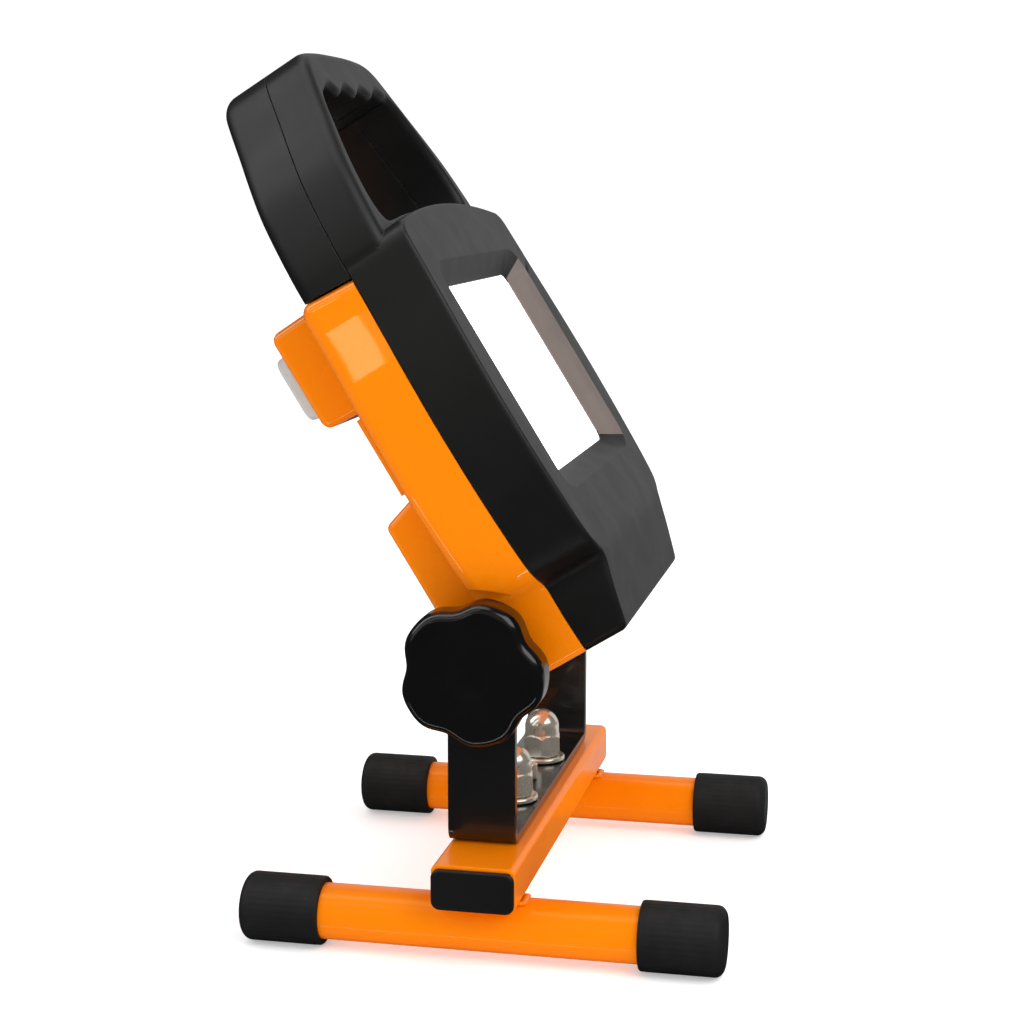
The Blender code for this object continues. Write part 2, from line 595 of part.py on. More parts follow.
def make_switch_box(head):
    low, high = SWITCH_BOX_Y
    z = SWITCH_BOX_Z
    outline = [(low - 1.2, BOX_JOIN_Z), (high + 0.6, BOX_JOIN_Z), (high, z), (low, z)]
    box = soft_box("switch_box", outline, SWITCH_BOX_X, CASTING, head)
    inside = SWITCH_BOX_X - BOX_WALL
    pocket = make_object("switch_box_pocket", block((-inside, low + BOX_WALL, z + BOX_WALL),
                                                    (inside, high - BOX_WALL, BOX_JOIN_Z + 2)), None, head)
    slot = make_object("switch_slot", block((SWITCH_X - 10.5, SWITCH_Y - 9.5, z - 2),
                                            (SWITCH_X + 10.5, SWITCH_Y + 9.5, z + 5)), None, head)
    port = make_object("port_hole", rod(PORT_R, z - 2, z + 5, 28, centre=(PORT_X, SWITCH_Y, 0)), None, head)
    combine(box, pocket, slot, port)


def make_battery_box(head):
    """The lower rear box: it holds the cells, and the tilt axis runs through its side walls."""
    top = BATTERY_BOX_TOP
    z = BATTERY_BOX_Z
    low = LOWER_Y + 1.2
    outline = [(low, BOX_JOIN_Z), (top, BOX_JOIN_Z), (top - 0.6, BOX_JOIN_Z - 2.2), (top - 4.6, z), (low, z)]
    bm = prism_x(outline, -BATTERY_BOX_X, BATTERY_BOX_X)
    edges = [e for e in bm.edges if not all(v.co.z > BOX_JOIN_Z - 2.5 for v in e.verts)
             and not all(abs(v.co.z - BOX_JOIN_Z) < 0.1 or v.co.z < z + 0.1 for v in e.verts)
             or all(v.co.z < z + 0.1 for v in e.verts)]
    bmesh.ops.bevel(bm, geom=edges, offset=2.4, segments=3, profile=0.5, affect="EDGES", clamp_overlap=True)
    box = make_object("battery_box", bm, CASTING, head)
    inside = BATTERY_BOX_X - BOX_WALL
    pocket = make_object("battery_box_pocket", block((-inside, low + BOX_WALL, z + BATTERY_WALL),
                                                     (inside, top - 5.5, BOX_JOIN_Z + 2)), None, head)
    bosses = [make_object(f"screw_boss_{side}", block(*sorted_corners((sx * 44.5, 40.5, z - 1), (sx * 60, 55, z + 4.2))),
                          None, head) for side, sx in SIDES]
    combine(pocket, *bosses)
    axle = make_object("battery_box_axle_hole", rod(PIVOT_HOLE_R, -64, 64, 20, "X"), None, head)
    combine(box, pocket, axle, *screw_pockets("battery_screw", head))


# ---------------------------------------------------------------- light and electrics

def make_light(head):
    middle = (0, WINDOW_Y)
    glass_top = WINDOW_Z - 0.2 - GAP
    glass_low = glass_top - GLASS_THICK
    make_object("lens_glass", prism(rounded_rectangle(*GLASS, 3.7, middle), glass_low, glass_top), CLEAR, head)

    gasket = make_object("lens_gasket", prism(rounded_rectangle(*GLASS, 3.7, middle), glass_low - GAP - 1.6,
                                              glass_low - GAP), BLACK_RUBBER, head)
    opening = rounded_rectangle(GLASS[0] - 7, GLASS[1] - 7, 3, middle)
    combine(gasket, make_object("gasket_opening", prism(opening, 38, 50), None, head))

    flange_z = glass_low - 2 * GAP - 1.6
    wide = (GLASS[0] - 10, GLASS[1] - 10)
    narrow = (46.0, 46.0)
    deep = 37.5
    shapes = ((rounded_rectangle(*narrow, 5, middle), deep), (rounded_rectangle(*wide, 4, middle), flange_z - 1.2),
              (rounded_rectangle(*GLASS, 3.7, middle), flange_z - 1.2), (rounded_rectangle(*GLASS, 3.7, middle), flange_z))
    reflector = make_object("reflector", loft([[(x, y, z) for x, y in shape] for shape, z in shapes]), ALUMINIUM, head)
    bowl = ((rounded_rectangle(narrow[0] - 3, narrow[1] - 3, 4, middle), deep - 1),
            (rounded_rectangle(narrow[0] - 2, narrow[1] - 2, 4, middle), deep),
            (rounded_rectangle(wide[0] - 3, wide[1] - 3, 3, middle), flange_z + 1))
    combine(reflector, make_object("reflector_bowl", loft([[(x, y, z) for x, y in shape] for shape, z in bowl]),
                                   None, head))

    plate = pocket_outline(126.0, BEZEL_WALL + 1.2)
    make_object("chassis_plate", prism(plate, SEAM_Z + 1.0, SEAM_Z + 3.0), ALUMINIUM, head)
    board_z = SEAM_Z + 3.0 + GAP
    make_object("led_board", prism(rounded_rectangle(62, 62, 2, middle, 2), board_z, board_z + 1.6), ALUMINIUM, head)
    make_object("led_emitter", prism(rounded_rectangle(38, 38, 3, middle), board_z + 1.6 + GAP,
                                     board_z + 3.0), PHOSPHOR, head)


def make_electrics(head):
    board = (-46.0, 58.0, 24.0), (46.0, 92.0, 25.6)
    make_object("driver_board", block(*board), GREEN_BOARD, head)
    make_object("driver_choke", ring(8.5, 4.0, 15.0, 24.0 - GAP, 24, centre=(22.0, 75.0, 0)), BRASS, head)
    make_object("driver_capacitor", rod(5.0, 12.4, 24.0 - GAP, 20, centre=(-6.0, 75.0, 0)), ALUMINIUM, head)
    tray_z = 15.2
    make_object("battery_tray", block((-52, -9, tray_z), (52, 52, tray_z + 1.6)), BLACK_PLASTIC, head)
    for k in range(3):
        y = 2.4 + k * (2 * CELL_R + 0.6)
        make_object(f"battery_cell_{k + 1}",
                    rod(CELL_R, -CELL_LENGTH / 2, CELL_LENGTH / 2, 28, "X", (0, y, 5.6)), CELL_WRAP, head)


def make_switch(head, rocker_pivot):
    """A rocker in a frame under a rubber boot, in the rear wall of the switch box."""
    z = SWITCH_BOX_Z
    spot = (SWITCH_X, SWITCH_Y)
    flange = prism(rounded_rectangle(23, 21, 1.5, spot, 2), z - GAP - 1.2, z - GAP)
    frame = make_object("switch_frame", flange, BLACK_PLASTIC, head)
    body = make_object("switch_frame_body", prism(rounded_rectangle(20.4, 18.4, 1.0, spot, 2), z - 1.0, 5.5), None, head)
    well = make_object("switch_frame_well", block((SWITCH_X - 8.5, SWITCH_Y - 7.4, z - 3),
                                                  (SWITCH_X + 8.5, SWITCH_Y + 7.4, 3.5)), None, head)
    combine(frame, body, operation="UNION")
    combine(frame, well)

    width = 16.0
    rocker = [(-6.6, -1.9), (0.0, -0.7), (6.6, -1.9), (6.2, 1.2), (2.5, 4.6), (-2.5, 4.6), (-6.2, 1.2)]
    bm = prism_x([(y, z_) for y, z_ in rocker], -width / 2, width / 2)
    make_object("switch_rocker", bm, BLACK_PLASTIC, rocker_pivot)

    width, height = SWITCH_SIZE
    rear = z - GAP
    shapes = ((rounded_rectangle(width - 4, height - 4, 3.0, spot), rear - 5.0),
              (rounded_rectangle(width - 1.6, height - 1.6, 3.4, spot), rear - 4.2),
              (rounded_rectangle(width, height, 4.0, spot), rear - 1.6), (rounded_rectangle(width, height, 4.0, spot), rear))
    boot = make_object("switch_boot", loft([[(x, y, z_) for x, y in shape] for shape, z_ in shapes]), GREY_BOOT, head)
    space = make_object("switch_boot_space", prism(rounded_rectangle(23.8, 21.8, 1.5, spot, 2), rear - 2.9, rear + 2),
                        None, head)
    combine(boot, space)


def make_charge_port(head, plug_pivot):
    z = SWITCH_BOX_Z
    spot = (PORT_X, SWITCH_Y, 0)
    jack = [(0, 4.0), (PORT_R - GAP, 4.0), (PORT_R - GAP, z + 0.4), (2.9, z + 0.4), (2.9, z + 9.5), (0, z + 9.5)]
    make_object("charge_jack", turned(jack, 24, centre=spot), BLACK_PLASTIC, head)
    plug = [(0, -GAP), (7.2, -GAP), (7.2, -1.4), (5.8, -2.4), (0, -2.4)]
    flap = make_object("port_plug", turned(plug, 28), BLACK_RUBBER, plug_pivot)
    stem = make_object("port_plug_stem", rod(2.5, -1.0, 8.4, 20), None, plug_pivot)
    combine(flap, stem, operation="UNION")


def screw_pockets(kind, head):
    """Cutters for the round pockets that the screws of one kind sit in."""
    return [make_object(f"{kind}_pocket_{k}", rod(SCREW_R + 0.4, z - 2, z + SCREW_SINK, 16, centre=(x, y, 0)),
                        None, head)
            for k, (name, x, y, z) in enumerate(SCREWS) if name == kind]


def make_screws(head):
    """Flat heads with a round socket, sunk into the rear faces."""
    counts = {}
    for kind, x, y, z in SCREWS:
        counts[kind] = counts.get(kind, 0) + 1
        seat = z + SCREW_SINK - GAP
        profile = [(0, seat), (SCREW_R, seat), (SCREW_R, z + 0.4), (SCREW_R - 0.5, z), (1.3, z), (1.3, z + 0.8),
                   (0, z + 0.8)]
        make_object(f"{kind}_{counts[kind]}", turned(profile, 16, centre=(x, y, 0)), ZINC, head)


# ---------------------------------------------------------------- knobs and pivots

def lobed(radius, dip):
    """A star outline with round lobes and narrower dips, one lobe along +x."""
    points = []
    count = KNOB_LOBES * 8
    for k in range(count):
        a = math.tau * k / count
        wave = (1 - math.cos(KNOB_LOBES * a)) / 2
        r = radius - dip * wave ** 2.2
        points.append((r * math.cos(a), r * math.sin(a)))
    return points


def make_knob(side, sx, pivot):
    """A star knob on a stud, with its washer. The stud passes the arm into an insert in the battery box."""
    def at(x, outline):
        return [(sx * x, y, z) for y, z in outline]

    star = lobed(KNOB_R, KNOB_DIP)
    levels = ((KNOB_BACK_X, 2.4), (KNOB_BACK_X + 1.5, 0.8), (KNOB_BACK_X + 3.5, 0.0), (KNOB_FACE_X - 3.6, 0.0),
              (KNOB_FACE_X - 1.3, 1.0), (KNOB_FACE_X, 3.2))
    knob = make_object(f"knob_{side}", loft([at(x, inset(star, by)) for x, by in levels]), KNOB_PLASTIC, pivot)
    low, high = sorted((sx * (KNOB_BACK_X - 1.6), sx * (KNOB_BACK_X + 2)))
    hub = make_object(f"knob_hub_{side}", rod(HUB_R, low, high, 24, "X"), None, pivot)
    dish_r = 30.0
    reach = KNOB_FACE_X + dish_r - 0.9
    arc = [(dish_r * math.sin(a), dish_r * math.cos(a)) for a in (math.radians(3 * k) for k in range(5))]
    dish = make_object(f"knob_dish_{side}", turned([(r, sx * (reach - h)) for r, h in arc] + [(arc[-1][0], sx * 90),
                                                   (0, sx * 90)], 24, "X"), None, pivot)
    low, high = sorted((sx * (KNOB_BACK_X - 3), sx * (KNOB_BACK_X + 8)))
    bore = make_object(f"knob_bore_{side}", rod(STUD_R + GAP, low, high, 20, "X"), None, pivot)
    combine(knob, hub, operation="UNION")
    combine(knob, dish, bore)
    low, high = sorted((sx * 49.5, sx * (KNOB_BACK_X + 7.5)))
    make_object(f"knob_stud_{side}", rod(STUD_R, low, high, 20, "X"), ZINC, pivot)


def make_pivot(side, sx, head, washer_pivot):
    """The brass insert inside the battery box, and the washers on each side of the bracket's arm."""
    inside = BATTERY_BOX_X - BOX_WALL - GAP
    low, high = sorted((sx * (inside - 12), sx * inside))
    make_object(f"pivot_insert_{side}", ring(INSERT_R, STUD_R + GAP, low, high, 20, "X"), BRASS, head)
    low, high = sorted((sx * (BATTERY_BOX_X + GAP), sx * (ARM_X - STRIP_THICK - GAP)))
    make_object(f"friction_washer_{side}", ring(5.9, STUD_R + GAP, low, high, 20, "X"), BLACK_RUBBER, head)
    low, high = sorted((sx * (ARM_X + GAP), sx * (ARM_X + GAP + WASHER_THICK)))
    make_object(f"knob_washer_{side}", ring(10.0, STUD_R + GAP, low, high, 24, "X"), ZINC, washer_pivot)


# ---------------------------------------------------------------- assembly

def empty(name, location, parent=None, turn=0.0):
    """A parent for pieces that move together: its place is in millimetres, its turn about X in degrees."""
    holder = bpy.data.objects.new(name, None)
    bpy.context.scene.collection.objects.link(holder)
    holder.location = [value * MM for value in location]
    holder.rotation_euler = (math.radians(turn), 0, 0)
    holder.parent = parent
    return holder


def build():
    for obj in list(bpy.data.objects):
        bpy.data.objects.remove(obj, do_unlink=True)

    make_stand()
    make_bracket()
    make_fasteners()

    head = empty("head_pivot", (0, BRACKET_Y, PIVOT_Z), turn=90 - TILT_BACK)
    make_front_bezel(head)
    make_handle_rear(head)
    make_housing(head)
    make_switch_box(head)
    make_battery_box(head)
    make_light(head)
    make_electrics(head)
    make_screws(head)
    make_switch(head, empty("rocker_pivot", (SWITCH_X, SWITCH_Y, SWITCH_BOX_Z + 0.6), head, turn=9.0))
    make_charge_port(head, empty("plug_pivot", (PORT_X, SWITCH_Y, SWITCH_BOX_Z), head))
    for side, sx in SIDES:
        make_pivot(side, sx, head, empty(f"washer_pivot_{side}", (0, BRACKET_Y, PIVOT_Z)))
        make_knob(side, sx, empty(f"knob_pivot_{side}", (0, BRACKET_Y, PIVOT_Z), turn=KNOB_TURN))


build()
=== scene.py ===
"""The looks of the work light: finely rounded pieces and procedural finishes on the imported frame.

Shapes are drawn in millimetres, in the world frame or in the head frame: x along the tilt axis, y up the
head, z out of its front face, with the origin on the tilt axis. They are stored in metres in the frame's
own axes.
"""
import json
import math

import bmesh
import bpy
from mathutils import Matrix, Vector


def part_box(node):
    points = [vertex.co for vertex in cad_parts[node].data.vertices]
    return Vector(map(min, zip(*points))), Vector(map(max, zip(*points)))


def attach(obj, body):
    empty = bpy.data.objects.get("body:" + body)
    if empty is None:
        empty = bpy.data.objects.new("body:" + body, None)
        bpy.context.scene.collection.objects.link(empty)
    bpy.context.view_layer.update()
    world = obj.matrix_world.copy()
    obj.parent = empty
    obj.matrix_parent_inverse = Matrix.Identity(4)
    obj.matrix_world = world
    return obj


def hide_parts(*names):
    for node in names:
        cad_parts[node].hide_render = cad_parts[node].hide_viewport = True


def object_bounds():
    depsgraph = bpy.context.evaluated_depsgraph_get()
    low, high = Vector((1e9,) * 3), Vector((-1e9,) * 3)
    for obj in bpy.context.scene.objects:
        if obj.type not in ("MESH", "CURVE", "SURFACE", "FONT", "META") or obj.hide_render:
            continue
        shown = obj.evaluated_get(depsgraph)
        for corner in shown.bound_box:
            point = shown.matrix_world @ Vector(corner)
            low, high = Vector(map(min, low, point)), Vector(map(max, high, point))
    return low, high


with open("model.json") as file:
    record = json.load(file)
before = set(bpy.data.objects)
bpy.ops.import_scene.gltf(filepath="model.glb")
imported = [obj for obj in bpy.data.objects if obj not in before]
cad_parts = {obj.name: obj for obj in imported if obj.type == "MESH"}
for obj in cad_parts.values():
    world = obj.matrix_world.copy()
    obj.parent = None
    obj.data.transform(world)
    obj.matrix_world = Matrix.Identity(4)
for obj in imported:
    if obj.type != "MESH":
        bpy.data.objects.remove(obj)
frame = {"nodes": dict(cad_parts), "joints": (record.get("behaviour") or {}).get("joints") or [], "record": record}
CAD_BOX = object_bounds()
JOINTS = {joint["name"]: joint for joint in frame["joints"]}
MOUNTS = {mount["name"]: mount for mount in frame["record"]["mounts"]}
SIDES = (("left", -1), ("right", 1))

PIVOT = Vector(JOINTS["head_tilt"]["pos_m"])
FORWARD = Vector(MOUNTS["front_face"]["axis"]).normalized()
UPWARD = FORWARD.cross(Vector((1, 0, 0)))
MM = Matrix.Scale(0.001, 4)
LEAN = Matrix((Vector((1, 0, 0)), UPWARD, FORWARD)).transposed().to_4x4()
HEAD = Matrix.Translation(PIVOT) @ LEAN @ MM
AXIS_SPOT = (0, PIVOT.y * 1000, PIVOT.z * 1000)

# Radii of the holes for the M8 bolts and the M6 studs, and of the knobs
BOLT_BORE = 4.4
STUD_BORE = 3.4
KNOB_R = 24.0


def node_box(node):
    """A node's lowest and highest corners in millimetres."""
    low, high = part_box(node)
    return low * 1000, high * 1000


# ---------------------------------------------------------------- meshes

def loft(rings, closed=False):
    """A body through rings of equally many points. A ring may be one point; closed joins last to first."""
    bm = bmesh.new()
    loops = [[bm.verts.new(point) for point in points] for points in rings]
    pairs = list(zip(loops, loops[1:]))
    if closed:
        pairs.append((loops[-1], loops[0]))
    for low, high in pairs:
        count = max(len(low), len(high))
        for i in range(count):
            j = (i + 1) % count
            corners = [low[i % len(low)], low[j % len(low)], high[j % len(high)], high[i % len(high)]]
            bm.faces.new(list(dict.fromkeys(corners)))
    if not closed:
        for loop in (loops[0][::-1], loops[-1]):
            if len(loop) > 2:
                bm.faces.new(loop)
    return bm


def ring(outline, z):
    """An outline of (x, y) points as a ring at height z."""
    return [(x, y, z) for x, y in outline]


def ring_x(outline, x):
    """An outline of (y, z) points as a ring across the X axis."""
    return [(x, y, z) for y, z in outline]


def prism(outline, low, high):
    return loft([ring(outline, low), ring(outline, high)])


def block(low, high):
    (x0, y0, z0), (x1, y1, z1) = low, high
    return prism([(x0, y0), (x1, y0), (x1, y1), (x0, y1)], z0, z1)


def turned(profile, segments, axis="Z", centre=(0, 0, 0), shape=None, closed=False):
    """Turns a (radius, height) profile about an axis. shape(r, h, angle) may vary the radius round it."""
    angles = [math.tau * k / segments for k in range(segments)]
    rings = []
    for r, h in profile:
        if r < 1e-6:
            rings.append([(0, 0, h)])
            continue
        radii = [shape(r, h, a) if shape else r for a in angles]
        rings.append([(s * math.cos(a), s * math.sin(a), h) for s, a in zip(radii, angles)])
    bm = loft(rings, closed)
    turn = {"X": Matrix.Rotation(math.pi / 2, 4, "Y"), "Y": Matrix.Rotation(-math.pi / 2, 4, "X"),
            "Z": Matrix.Identity(4)}[axis]
    bmesh.ops.transform(bm, matrix=Matrix.Translation(centre) @ turn, verts=bm.verts)
    return bm


def solid(bm):
    """A hidden working object in millimetres."""
    bmesh.ops.remove_doubles(bm, verts=bm.verts, dist=0.0005)
    bmesh.ops.recalc_face_normals(bm, faces=bm.faces)
    mesh = bpy.data.meshes.new("work")
    bm.to_mesh(mesh)
    bm.free()
    obj = bpy.data.objects.new("work", mesh)
    bpy.context.scene.collection.objects.link(obj)
    return obj


def drill(r, low, high, segments=48, axis="Z", centre=(0, 0, 0)):
    """A plain cylinder to cut with."""
    return solid(turned([(0, low), (r, low), (r, high), (0, high)], segments, axis, centre))


def settle(obj):
    """Turns an object's modifiers into its own mesh."""
    bpy.context.view_layer.update()
    depsgraph = bpy.context.evaluated_depsgraph_get()
    mesh = bpy.data.meshes.new_from_object(obj.evaluated_get(depsgraph))
    obj.modifiers.clear()
    obj.data = mesh
    return obj


def combine(obj, tools, operation="DIFFERENCE"):
    """Booleans the working objects into obj and removes them."""
    for tool in tools:
        modifier = obj.modifiers.new("boolean", "BOOLEAN")
        modifier.operation = operation
        modifier.solver = "EXACT"
        modifier.object = tool
    settle(obj)
    for tool in tools:
        bpy.data.objects.remove(tool)
    return obj


def soften(obj, width, angle, segments):
    """Rounds every edge sharper than angle by width millimetres."""
    modifier = obj.modifiers.new("bevel", "BEVEL")
    modifier.width = width
    modifier.segments = segments
    modifier.limit_method = "ANGLE"
    modifier.angle_limit = math.radians(angle)
    modifier.use_clamp_overlap = True
    return settle(obj)


def piece(name, obj, body, slot, nodes=(), matrix=MM, angle=34.0, more_looks=()):
    """Finishes a working object or mesh as a named piece on a body, in its slot's look, for CAD nodes."""
    if not isinstance(obj, bpy.types.Object):
        obj = solid(obj)
    obj.name = obj.data.name = name
    obj.data.transform(matrix)
    obj.data.shade_smooth()
    obj.data.set_sharp_from_angle(angle=math.radians(angle))
    weighted = obj.modifiers.new("normals", "WEIGHTED_NORMAL")
    weighted.keep_sharp = True
    weighted.weight = 60
    obj.data.materials.clear()
    for look in (slot, *more_looks):
        obj.data.materials.append(LOOKS[look])
    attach(obj, body)
    if nodes:
        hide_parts(*nodes)
    return obj


# ---------------------------------------------------------------- outlines

def rounded_rectangle(width, height, radius, centre, steps=8):
    """A rectangle's outline with rounded corners, each of the given number of steps."""
    points = []
    for sx, sy, first in ((1, 1, 0), (-1, 1, 90), (-1, -1, 180), (1, -1, 270)):
        cx = centre[0] + sx * (width / 2 - radius)
        cy = centre[1] + sy * (height / 2 - radius)
        for k in range(steps + 1):
            a = math.radians(first + 90 * k / steps)
            points.append((cx + radius * math.cos(a), cy + radius * math.sin(a)))
    return points


def rounded(corners, steps):
    """A closed outline from (x, y, radius) corners."""
    points = []
    for i, (x, y, r) in enumerate(corners):
        here = Vector((x, y))
        before = (Vector(corners[i - 1][:2]) - here).normalized()
        after = (Vector(corners[(i + 1) % len(corners)][:2]) - here).normalized()
        if r <= 0:
            points.append((x, y))
            continue
        half = before.angle(after) / 2
        centre = here + (before + after).normalized() * (r / math.sin(half))
        start = here + before * (r / math.tan(half)) - centre
        end = here + after * (r / math.tan(half)) - centre
        first = math.atan2(start.y, start.x)
        sweep = (math.atan2(end.y, end.x) - first + math.pi) % math.tau - math.pi
        for k in range(steps + 1):
            a = first + sweep * k / steps
            points.append((centre.x + r * math.cos(a), centre.y + r * math.sin(a)))
    return points


def spline(points, steps=5):
    """Catmull-Rom curve through the points."""
    line = [Vector(p) for p in points]
    line = [2 * line[0] - line[1]] + line + [2 * line[-1] - line[-2]]
    curve = []
    for a, b, c, d in zip(line, line[1:], line[2:], line[3:]):
        for k in range(steps):
            t = k / steps
            p = 0.5 * (2 * b + (c - a) * t + (2 * a - 5 * b + 4 * c - d) * t ** 2
                       + (3 * b - a - 3 * c + d) * t ** 3)
            curve.append((p.x, p.y))
    curve.append(tuple(points[-1]))
    return curve


def mirrored(right):
    """A right-hand side with its mirror image, where points on the middle line count once."""
    return right + [(-x, y) for x, y in reversed(right) if x > 1e-6]


def inset(outline, distance):
    """Moves a counter-clockwise outline inwards."""
    result = []
    count = len(outline)
    for i in range(count):
        before, here, after = (Vector(outline[j % count]) for j in (i - 1, i, i + 1))
        first = (here - before).normalized()
        second = (after - here).normalized()
        normal = Vector((-first.y - second.y, first.x + second.x)).normalized()
        stretch = 1 / max(0.6, normal.dot(Vector((-first.y, first.x))))
        result.append(tuple(here + normal * distance * stretch))
    return result


def shrink(outline, distance):
    """Scales an outline about its middle, so that each of its four sides moves in by distance."""
    xs, ys = zip(*outline)
    middle = (min(ys) + max(ys)) / 2
    wide = 1 - distance / max(xs)
    high = 1 - distance / (max(ys) - middle)
    return [(x * wide, middle + (y - middle) * high) for x, y in outline]


def quarter(depth, reach, steps=7):
    """(depth, inset) pairs round an edge, from the face with the full inset to the side with none."""
    return [(depth * (1 - math.sin(a)), reach * (1 - math.cos(a)))
            for a in (math.pi / 2 * (1 - k / steps) for k in range(steps + 1))]


# ---------------------------------------------------------------- finishes

class Finish:
    """A Principled material with a few procedural layers in object coordinates."""

    def __init__(self, name, colour, roughness, metallic=0.0, specular=0.5, coat=0.0, coat_roughness=0.03):
        self.material = bpy.data.materials.new(name)
        self.material.use_nodes = True
        self.tree = self.material.node_tree
        self.shader = self.tree.nodes["Principled BSDF"]
        self.colour = (*colour, 1.0)
        self.shader.inputs["Base Color"].default_value = self.colour
        self.shader.inputs["Roughness"].default_value = roughness
        self.shader.inputs["Metallic"].default_value = metallic
        self.shader.inputs["Specular IOR Level"].default_value = specular
        self.shader.inputs["Coat Weight"].default_value = coat
        self.shader.inputs["Coat Roughness"].default_value = coat_roughness
        self.place = self.node("ShaderNodeTexCoord").outputs["Object"]
        self.paint = None
        self.normal = None

    def node(self, kind, **settings):
        made = self.tree.nodes.new(kind)
        for key, value in settings.items():
            setattr(made, key, value)
        return made

    def noise(self, scale, detail=3.0, stretch=(1, 1, 1)):
        source = self.place
        if stretch != (1, 1, 1):
            mapping = self.node("ShaderNodeMapping")
            mapping.inputs["Scale"].default_value = stretch
            self.tree.links.new(source, mapping.inputs["Vector"])
            source = mapping.outputs["Vector"]
        made = self.node("ShaderNodeTexNoise")
        made.inputs["Scale"].default_value = scale
        made.inputs["Detail"].default_value = detail
        self.tree.links.new(source, made.inputs["Vector"])
        return made.outputs[0]

    def ramp(self, value, low, high, to_low=0.0, to_high=1.0):
        made = self.node("ShaderNodeMapRange")
        for key, number in (("From Min", low), ("From Max", high), ("To Min", to_low), ("To Max", to_high)):
            made.inputs[key].default_value = number
        self.tree.links.new(value, made.inputs["Value"])
        return made.outputs["Result"]

    def times(self, a, b):
        made = self.node("ShaderNodeMath", operation="MULTIPLY")
        self.tree.links.new(a, made.inputs[0])
        self.tree.links.new(b, made.inputs[1])
        return made.outputs[0]

    def blend(self, factor, colour):
        """Mixes a colour over the paint so far."""
        made = self.node("ShaderNodeMix", data_type="RGBA")
        self.tree.links.new(factor, made.inputs[0])
        if self.paint is None:
            made.inputs[6].default_value = self.colour
        else:
            self.tree.links.new(self.paint, made.inputs[6])
        made.inputs[7].default_value = (*colour, 1.0)
        self.paint = made.outputs[2]
        self.tree.links.new(self.paint, self.shader.inputs["Base Color"])
        return self

    def mottle(self, scale, amount, colour):
        """Soft clouds of a slightly different colour."""
        return self.blend(self.ramp(self.noise(scale), 0.35, 0.65, 0.0, amount), colour)

    def gloss(self, scale, low, high, stretch=(1, 1, 1)):
        """Roughness that wanders between two values."""
        value = self.ramp(self.noise(scale, 4.0, stretch), 0.3, 0.7, low, high)
        self.tree.links.new(value, self.shader.inputs["Roughness"])
        return self

    def round_edges(self, radius):
        """Shades every edge as if rounded; radius is in millimetres."""
        made = self.node("ShaderNodeBevel", samples=6)
        made.inputs["Radius"].default_value = radius * 0.001
        return self.bend(made)

    def grain(self, height, distance, strength=1.0):
        """Adds a bump from a height pattern; distance is in millimetres."""
        made = self.node("ShaderNodeBump")
        made.inputs["Strength"].default_value = strength
        made.inputs["Distance"].default_value = distance * 0.001
        self.tree.links.new(height, made.inputs["Height"])
        if self.normal is not None:
            self.tree.links.new(self.normal, made.inputs["Normal"])
        return self.bend(made)

    def bend(self, node):
        """Takes the shader's normal from a node."""
        self.normal = node.outputs["Normal"]
        self.tree.links.new(self.normal, self.shader.inputs["Normal"])
        return self

    def wear(self, colour, amount, radius=0.8, scale=180):
        """Patchy wear where an edge is sharp: there a rounded normal differs from the plain one."""
        soft = self.node("ShaderNodeBevel", samples=4)
        soft.inputs["Radius"].default_value = radius * 0.001
        plain = self.node("ShaderNodeNewGeometry")
        match = self.node("ShaderNodeVectorMath", operation="DOT_PRODUCT")
        self.tree.links.new(soft.outputs["Normal"], match.inputs[0])
        self.tree.links.new(plain.outputs["Normal"], match.inputs[1])
        edge = self.ramp(match.outputs["Value"], 0.99, 0.90, 0.0, amount)
        patch = self.ramp(self.noise(scale, 5.0), 0.42, 0.62)
        return self.blend(self.times(edge, patch), colour)


